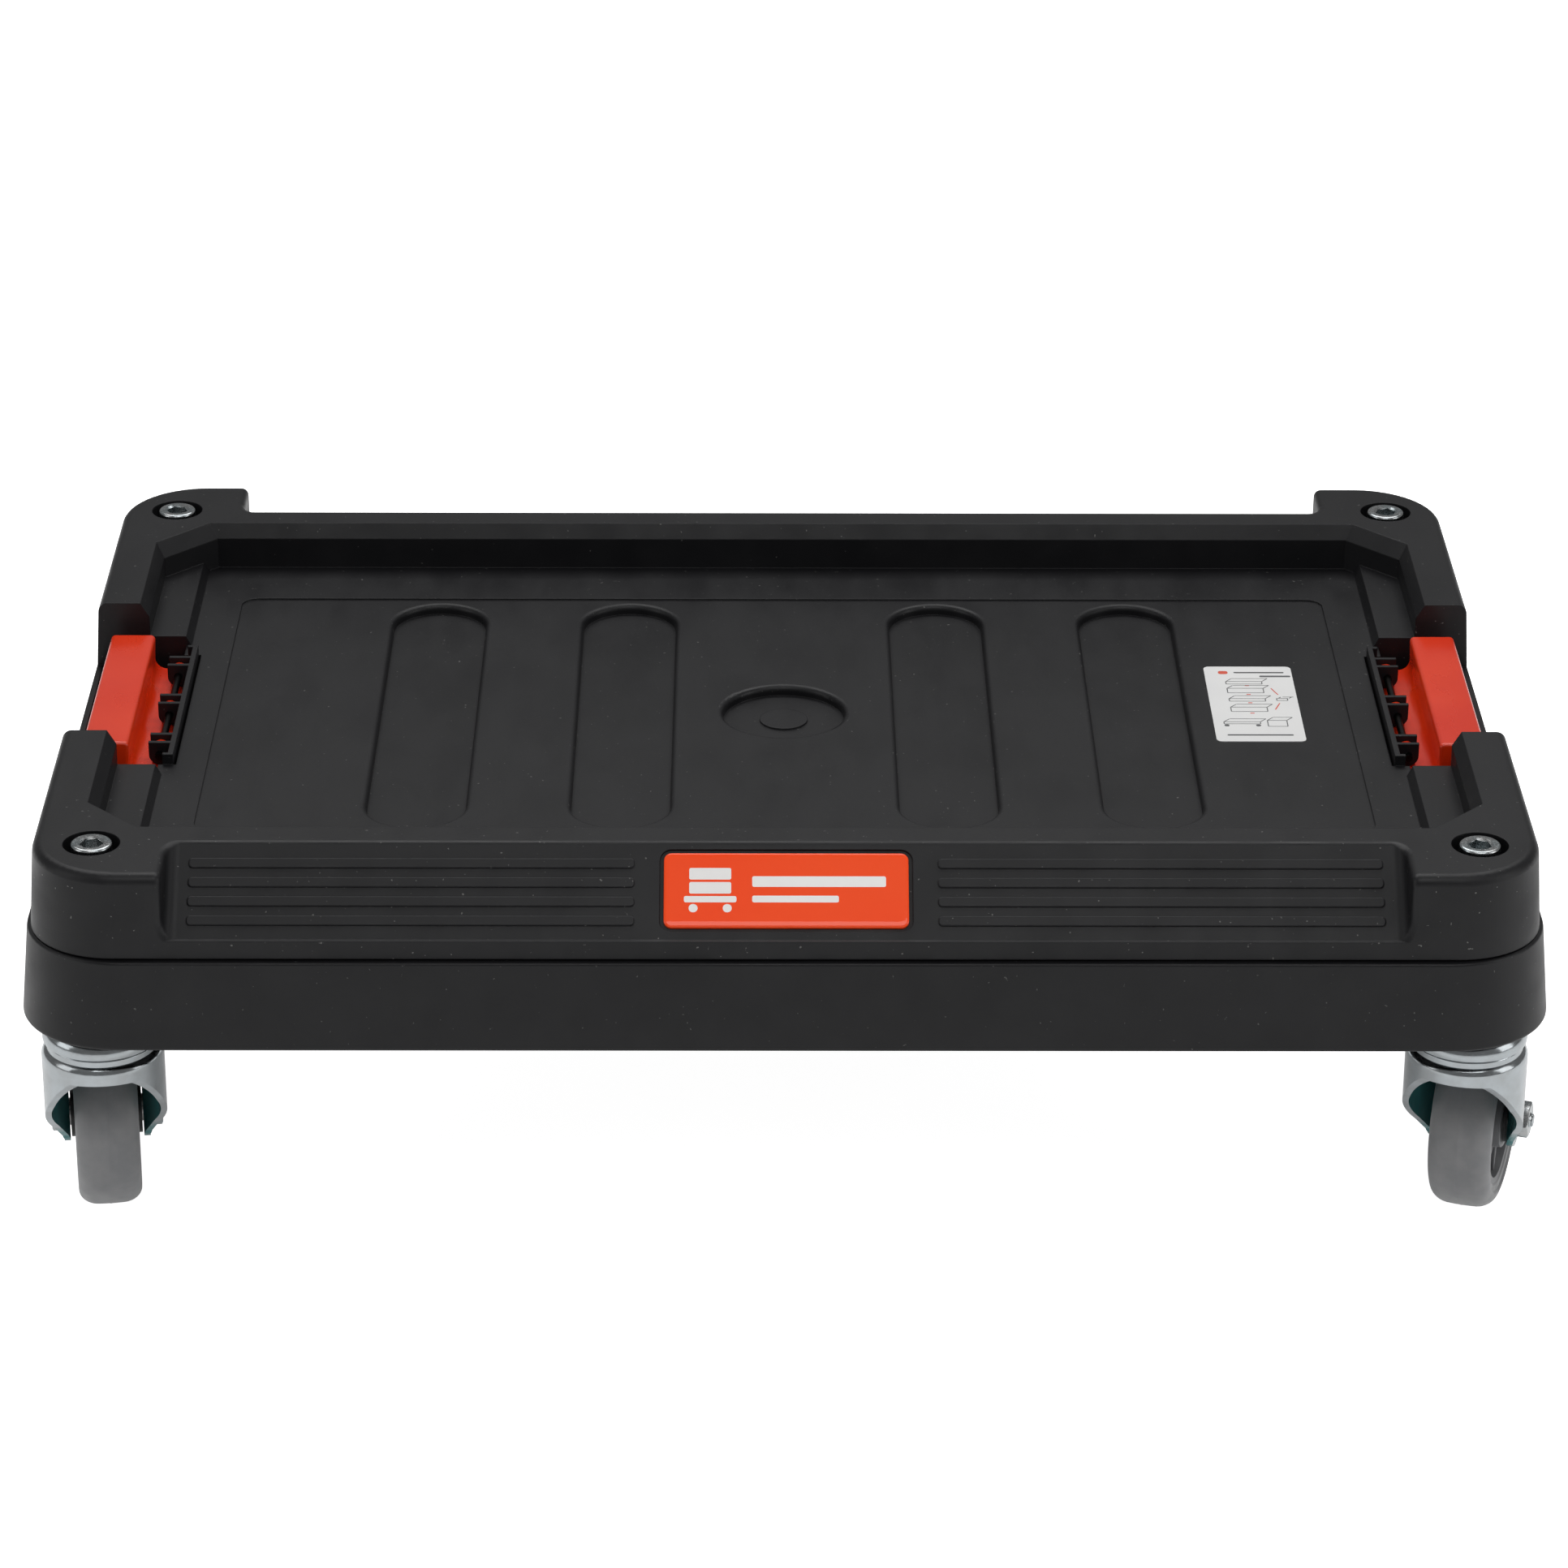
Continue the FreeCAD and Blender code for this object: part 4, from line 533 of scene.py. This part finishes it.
# %% Joining and finishing helpers
def finish_with(piece, kind, **settings):
    """Adds a modifier to the piece alone and applies it."""
    bpy.ops.object.select_all(action="DESELECT")
    piece.select_set(True)
    bpy.context.view_layer.objects.active = piece
    bpy.ops.object.modifier_add(type=kind)
    modifier = piece.modifiers[-1]
    for name, setting in settings.items():
        setattr(modifier, name, setting)
    bpy.ops.object.modifier_apply(modifier=modifier.name)


def joined(pieces, name):
    """Makes one mesh of several."""
    bpy.ops.object.select_all(action="DESELECT")
    for piece in pieces:
        piece.select_set(True)
    bpy.context.view_layer.objects.active = pieces[0]
    bpy.ops.object.join()
    pieces[0].name = pieces[0].data.name = name
    return pieces[0]


# %% Ribbed wheel cores
RIBS, RIB_THICKNESS, RIB_EDGE = 8, 1.8, 0.4
section = [
    (-12.5, 8.1), (12.5, 8.1), (12.5, 12.1), (12.1, 12.5), (2.6, 13.6), (2.2, 14.2), (2.2, 23.6), (2.8, 24.3),
    (11.0, 24.9), (11.0, 27.5), (-11.0, 27.5), (-11.0, 24.9), (-2.8, 24.3), (-2.2, 23.6), (-2.2, 14.2),
    (-2.6, 13.6), (-12.1, 12.5), (-12.5, 12.1),
]
disc = turned("wheel_disc", [(x, 0, radius) for x, radius in section], (1, 0, 0), 64)
bar = [(-9.5, 12.4), (9.5, 12.4), (9.0, 25.2), (-9.0, 25.2)]
rib = pushed("wheel_rib", [(x, -RIB_THICKNESS / 2, radius) for x, radius in bar], (0, RIB_THICKNESS, 0))
finish_with(rib, "BEVEL", width=RIB_EDGE * MM, segments=2)
ribs = [copy_at(rib, "wheel_rib_copy", Matrix.Rotation(math.tau * i / RIBS, 4, "X")) for i in range(RIBS)]
bpy.data.objects.remove(rib)
core = joined([disc, *ribs], "ribbed_core")
core.data.transform(AXLE)
on_castors(core, "ribbed_core", "wheel", "core_moulding", core_plastic, "wheel_core")

# %% [markdown]
# ## Axle bolts and nuts
# A hexagon bar is turned before it is parted off, which chamfers its corners into the curved facets
# seen on every nut. A bevel would cut the corners straight, so the hexagon is drawn, and what it
# shares with a turned blank is kept. The thread that shows past the nut is a row of rings: at this
# size nobody can tell them from a helix.

# %% Hexagon heads and nuts
HEXAGON = [math.radians(60 * i) for i in range(6)]
ACROSS_CORNERS, FORK_FACE, FACE_SHARE, CHAMFER_SHARE = 14.6, 17.0, 0.88, 0.12
WORN_EDGE = {"width": 0.18 * MM, "segments": 2, "limit_method": "ANGLE", "angle_limit": math.radians(30)}


def carve(piece, tool, operation="DIFFERENCE"):
    """Cuts a piece with a tool, or keeps what they share, and removes the tool."""
    finish_with(piece, "BOOLEAN", operation=operation, object=tool, solver="EXACT")
    bpy.data.objects.remove(tool)


def hexagon_blank(name, low, high, bore=0.0):
    """A chamfered hexagon along the axle from low to high, with a bore if it has a radius."""
    radius = ACROSS_CORNERS / 2
    points = [(low, radius * math.cos(t), radius * math.sin(t)) for t in HEXAGON]
    hexagon = pushed(name, points, (high - low, 0, 0), 20)
    face, chamfer = radius * FACE_SHARE, (high - low) * CHAMFER_SHARE
    section = [(low - 0.01, bore), (low - 0.01, face), (low + chamfer, radius + 0.2),
               (high - chamfer, radius + 0.2), (high + 0.01, face), (high + 0.01, bore)]
    blank = turned("turned_blank", [(x, 0, r) for x, r in section], (1, 0, 0), 48)
    carve(hexagon, blank, "INTERSECT")
    finish_with(hexagon, "BEVEL", **WORN_EDGE)
    return hexagon


nut = hexagon_blank("hexagon_nut", FORK_FACE, 22.2, 3.05)
nut.data.transform(AXLE)
on_castors(nut, "hexagon_nut", "castor", "bolt_steel", zinc_screw, "axle_nut")

# %% The axle bolt, its head joined to a threaded shank
CREST, ROOT, THREAD_START, THREADS = 3.0, 2.55, 17.2, 6
head = hexagon_blank("hexagon_head", -21.6, -FORK_FACE)
thread = []
for step in range(THREADS):
    thread += [(THREAD_START + step, CREST), (THREAD_START + 0.5 + step, ROOT)]
section = [(-17.5, 0.0), (-17.5, CREST), (FORK_FACE, CREST), *thread, (23.2, 2.6), (23.5, 2.2), (23.5, 0.0)]
shank = turned("axle_shank", [(x, 0, radius) for x, radius in section], (1, 0, 0), 32)
axle = joined([head, shank], "hexagon_bolt")
axle.data.transform(AXLE)
on_castors(axle, "hexagon_bolt", "castor", "bolt_steel", zinc_screw, "axle_bolt")

# %% [markdown]
# ## Cap screws
# One long cap screw stands in each corner. Its head is forged and turned, so the rim is softly
# rounded, and the drive is a hexagon socket with a coned mouth. The screw is spun from its section
# and the socket is cut with a hexagonal bar, because a spun section can only hold round holes.

# %% Cap screws
SOCKET_RADIUS, SOCKET_FLOOR, RIM = 4.6, 164.5, 1.1
section = [
    (0.0, 70.0), (4.1, 70.0), (5.0, 70.9), (5.0, 159.5), (7.6, 159.5), (8.0, 159.9),
    *arc(6.9, 168.4, RIM, 0, 90, 6), (5.1, 169.5), (4.3, 168.8), (4.0, 168.8), (0.0, 168.8),
]
screw = turned("cap_screw", [(radius, 0, z) for radius, z in section], (0, 0, 1), 48)
drive = pushed("screw_drive", [(SOCKET_RADIUS * math.cos(t), SOCKET_RADIUS * math.sin(t), SOCKET_FLOOR)
                               for t in HEXAGON], (0, 0, 6))
carve(screw, drive)
bpy.ops.object.shade_smooth_by_angle(angle=math.radians(30))
screws = [copy_at(screw, "cap_screw_copy", place) for place in CASTORS.values()]
bpy.data.objects.remove(screw)
take_place(joined(screws, "cap_screws"), "root", "bolt_steel", zinc_screw, "castor_bolts")
print("cap_screws:", len(screws), "screws in one mesh")

# %% [markdown]
# ## Latches
# The latch is one red moulding: a hollow grip block with softly rounded edges, a concave sweep down
# to a thin foot, and three short knuckles that turn on the pin between the fins. Its section is the
# same along its whole length, so it is drawn once and pushed out, then hollowed from below as the
# mould's core would do. A block with its edges rounded afterwards would lose the sweep.


# %% The grip block, drawn at the right end
def pick(piece, test):
    """In edit mode, selects the faces whose middle, in millimetres, passes a test."""
    bpy.ops.mesh.select_mode(type="FACE")
    bpy.ops.mesh.select_all(action="DESELECT")
    mesh = bmesh.from_edit_mesh(piece.data)
    for face in mesh.faces:
        middle = sum((corner.co for corner in face.verts), Vector()) / len(face.verts) / MM
        if test(middle, face):
            face.select_set(True)
    bmesh.update_edit_mesh(piece.data)


LATCH_HALF, PIN_X, PIN_Z, HEEL_X, BLOCK_X = 54.7, 252.9, 148.6, 250.9, 266
LATCH_EDGE, LATCH_WALL, HOLLOW_DEPTH = 1.1, 1.6, 15.6
section = [
    (HEEL_X, 140.8), (264.0, 140.8), (282.5, 140.8),
    *arc(280.7, 157.2, 1.8, 0, 90, 5), *arc(265.9, 157.1, 1.9, 90, 180, 5), (264.3, 152.0),
    *arc(259.6, PIN_Z, 4.8, 0, -90, 9), (HEEL_X, 143.8),
]
latch = pushed("red_latch", [(x, -LATCH_HALF, z) for x, z in section], (0, 2 * LATCH_HALF, 0), 40)
finish_with(latch, "BEVEL", width=LATCH_EDGE * MM, segments=3, limit_method="ANGLE",
            angle_limit=math.radians(50))
bpy.ops.object.mode_set(mode="EDIT")
pick(latch, lambda middle, face: face.normal.z < -0.95 and middle.x > BLOCK_X and abs(middle.y) < 2)
bpy.ops.mesh.inset(thickness=LATCH_WALL * MM, depth=0)
bpy.ops.mesh.extrude_region_move(TRANSFORM_OT_translate={"value": Vector((0, 0, HOLLOW_DEPTH)) * MM})
done(latch, 40)

# %% [markdown]
# ## Latch knuckles
# Each knuckle fills the space between two fins and holds the pin. Knuckles are joined to the block
# first and bored after, in one cut, so that the three holes lie on one line as a drill leaves them.

# %% Knuckles, bore and both latches
KNUCKLE_HALF, FIN_PITCH, KNUCKLE_RADIUS, BORE_RADIUS, BORE_REACH = 2.7, 38.8, 3.4, 1.6, 60
knuckle_section = [(HEEL_X, 142.0), (256.3, 142.0), *arc(PIN_X, PIN_Z, KNUCKLE_RADIUS, 0, 180, 14),
                   (HEEL_X, PIN_Z - 2.75)]
knuckles = []
for middle in (-FIN_PITCH, 0.0, FIN_PITCH):
    outline = [(x, middle - KNUCKLE_HALF, z) for x, z in knuckle_section]
    knuckles.append(pushed("knuckle", outline, (0, 2 * KNUCKLE_HALF, 0), 40))
latch = joined([latch, *knuckles], "red_latch")
circle = arc(PIN_X, PIN_Z, BORE_RADIUS, 0, 345, 23)
carve(latch, pushed("pin_bore", [(x, -BORE_REACH, z) for x, z in circle], (0, 2 * BORE_REACH, 0)))
bpy.ops.object.shade_smooth_by_angle(angle=math.radians(40))
for name, half_turns in (("right", 0), ("left", 1)):
    copy = copy_at(latch, f"red_latch_{name}", Matrix.Rotation(half_turns * math.pi, 4, "Z"))
    take_place(copy, f"latch_{name}", "latch_moulding", latch_plastic, f"latch_{name}")
bpy.data.objects.remove(latch)
print("latches: right, and left by half a turn")

# %% [markdown]
# ## Badge
# A printed plate lies under a dome of clear resin that was poured on and pulled itself round at the
# edge, so each corner holds a small bright glint. A subdivided plate would round its corners away;
# here the dome is the plate's own top, inset and raised in steps that get flatter towards the middle.

# %% Domed badge
SLOPE_ANGLE, BADGE_MIDDLE = math.radians(41.1), -20.2
SLOPE = Matrix.Translation(Vector((0, -167.0, 169.0)) * MM) @ Matrix.Rotation(SLOPE_ANGLE, 4, "X")
DOME_STEPS = ((0.12, 0.25), (0.25, 0.2), (0.4, 0.13), (0.7, 0.08), (0.9, 0.04), (0.3, 0.0))


def on_slope(piece):
    """Moves a piece drawn flat, with Y up the slope and Z out of it, onto the front slope."""
    piece.data.transform(SLOPE @ Matrix.Translation(Vector((0, BADGE_MIDDLE, 0)) * MM))


def rounded_plate(name, half_x, half_y, radius, low, high, steps=6):
    """A flat plate with round corners, as half sizes in x and y and a z range in millimetres."""
    points = []
    for sign_x, sign_y, angle in ((1, 1, 0), (-1, 1, 90), (-1, -1, 180), (1, -1, 270)):
        corner = arc(sign_x * (half_x - radius), sign_y * (half_y - radius), radius, angle, angle + 90, steps)
        points += [(x, y, low) for x, y in corner]
    return pushed(name, points, (0, 0, high - low))


badge = rounded_plate("domed_badge", 46.7, 15.4, 3.0, -1.0, 0.1)
bpy.ops.object.mode_set(mode="EDIT")
pick(badge, lambda middle, face: face.normal.z > 0.9)
for inset, rise in DOME_STEPS:
    bpy.ops.mesh.inset(thickness=inset * MM, depth=rise * MM)
done(badge, 60)
on_slope(badge)
take_place(badge, "root", "badge_resin", badge_resin, "front_badge")

# %% [markdown]
# ## Emblem
# The mark in the badge is a plain one: two boxes on a dolly beside two stripes. It could be painted
# by a pattern in the material, but as thin plates of ink it stays crisp at any distance.

# %% The emblem printed in the badge
TOP, INK = 0.79, 0.03
# Left, right, lower and upper edge of each shape, in millimetres.
STRIPES = (
    (-37, -21, 4.2, 9.0), (-37, -21, -1.6, 3.2), (-39, -19, -5.2, -2.6),
    (-13, 38, 1.2, 5.6), (-13, 20, -5.2, -2.4),
)
WHEELS_X, WHEELS_Y = (-35.5, -22.5), -7.6
prints = []
for left, right, bottom, top in STRIPES:
    plate = rounded_plate("print", (right - left) / 2, (top - bottom) / 2, 0.7, TOP, TOP + INK, 3)
    plate.data.transform(Matrix.Translation(Vector(((left + right) / 2, (bottom + top) / 2, 0)) * MM))
    prints.append(plate)
for x in WHEELS_X:
    wheel = rounded_plate("print", 1.7, 1.7, 1.6, TOP, TOP + INK, 5)
    wheel.data.transform(Matrix.Translation(Vector((x, WHEELS_Y, 0)) * MM))
    prints.append(wheel)
emblem = joined(prints, "badge_emblem")
on_slope(emblem)
take_place(emblem, "root", "badge_resin", emblem_ink)
print("badge_emblem:", len(prints), "shapes of ink")

# %% [markdown]
# ## Sticker
# A white sticker in the tray shows how boxes stack on the dolly. Only plain line drawings are
# kept: boxes with arrows between them, and the dolly under them. Each line is a thin plate of ink,
# like the emblem's, and all lines of a colour are one piece.

# %% Sticker and the pens that draw on it
LABEL_PLACE = Matrix.Translation(Vector((194.8, 7.6, 148.7)) * MM)
FILM, PEN, LID_TURN = 0.3, 0.42, -40
sticker = rounded_plate("vinyl_sticker", 18.3, 37.7, 2.4, 0.0, FILM)
sheets = {"dark": [], "red": []}


def bar_print(shade, x, y, width, depth, turn=0.0):
    """One printed line, centred at x and y on the sticker, in millimetres."""
    plate = rounded_plate("print", width / 2, depth / 2, min(width, depth) * 0.3, FILM, FILM + 0.02, 2)
    place = Matrix.Translation(Vector((x, y, 0)) * MM)
    plate.data.transform(place @ Matrix.Rotation(math.radians(turn), 4, "Z"))
    sheets[shade].append(plate)


def box_drawing(x, y, width, height, lean=3.0):
    """A box in line: its front, and its lid leaning away."""
    for side in (-1, 1):
        bar_print("dark", x, y + side * height / 2, width, PEN)
        bar_print("dark", x + side * width / 2, y, PEN, height)
        bar_print("dark", x + side * width / 2 + 1.3, y + height / 2 + lean / 2, PEN, lean * 1.2, LID_TURN)
    bar_print("dark", x + 2.6, y + height / 2 + lean, width, PEN)


# %% What the sticker shows
# Height on the sticker and size of each box in the stack, then x, y, width, height and lean of the
# others, then colour, x, y, width, height and turn of the plain bars.
STACK = ((21, 2.6), (13, 4.6), (3.5, 2.6), (-6, 4.4))
OTHER_BOXES = ((-6.5, -19.5, 15, 2.0, 3.0), (8.0, -20.0, 8, 6.0, 3.0), (12.0, 4.0, 4.5, 2.2, 1.4))
PLAIN_BARS = (
    ("dark", -13, -22.0, 2.0, 2.0, 0), ("dark", 0, -22.0, 2.0, 2.0, 0), ("dark", 11.0, 27.6, 13, 1.6, 0),
    ("red", -10.5, 31.5, 4.0, 3.2, 0), ("dark", 4.5, 31.5, 21, 1.3, 0), ("dark", 0.0, -31.5, 27, 1.3, 0),
    ("red", 9.5, 12.0, 0.5, 7.0, 20), ("red", 9.5, -3.0, 0.5, 7.0, -20),
)
for y, height in STACK:
    box_drawing(-2.5, y, 15, height)
    bar_print("red", -1.5, y - height / 2 - 1.6, 1.8, 0.8)
for box in OTHER_BOXES:
    box_drawing(*box)
for line in PLAIN_BARS:
    bar_print(*line)

sticker.data.transform(LABEL_PLACE)
take_place(sticker, "root", "label_film", label_film, "stacking_label")
for shade, ink in (("dark", ink_grey), ("red", ink_red)):
    sheet = joined(sheets[shade], f"sticker_lines_{shade}")
    sheet.data.transform(LABEL_PLACE)
    take_place(sheet, "root", "label_film", ink)
    print(sheet.name, len(sheets[shade]), "lines")

# %% [markdown]
# ## The studio floor
# White paper lit until it is as bright as the page, so the object stands on plain white. To the eye
# it glows at full strength, and it gives the object only a soft fill from below. Paper lit by lamps
# alone would turn grey towards the edges of the view.

# %% The plain studio floor
GLOW_SEEN, GLOW_GIVEN, PAPER_PATCH = 0.95, 0.30, 400
floor_finish, tree, shader = new_finish("studio_paper_white", Roughness=0.9, Emission_Color=(1, 1, 1, 1))
seen = add_node(tree, "ShaderNodeLightPath").outputs["Is Camera Ray"]
tree.links.new(spread(tree, seen, GLOW_GIVEN, GLOW_SEEN, 0, 1), shader.inputs["Emission Strength"])
paper = spread(tree, pattern(tree, PAPER_PATCH, detail=2), 0, 1)
tree.links.new(blend_colours(tree, paper, "#F1F1F1", "#F4F4F4"), shader.inputs["Base Color"])
floor.data.materials.append(floor_finish)
print("floor: white paper")
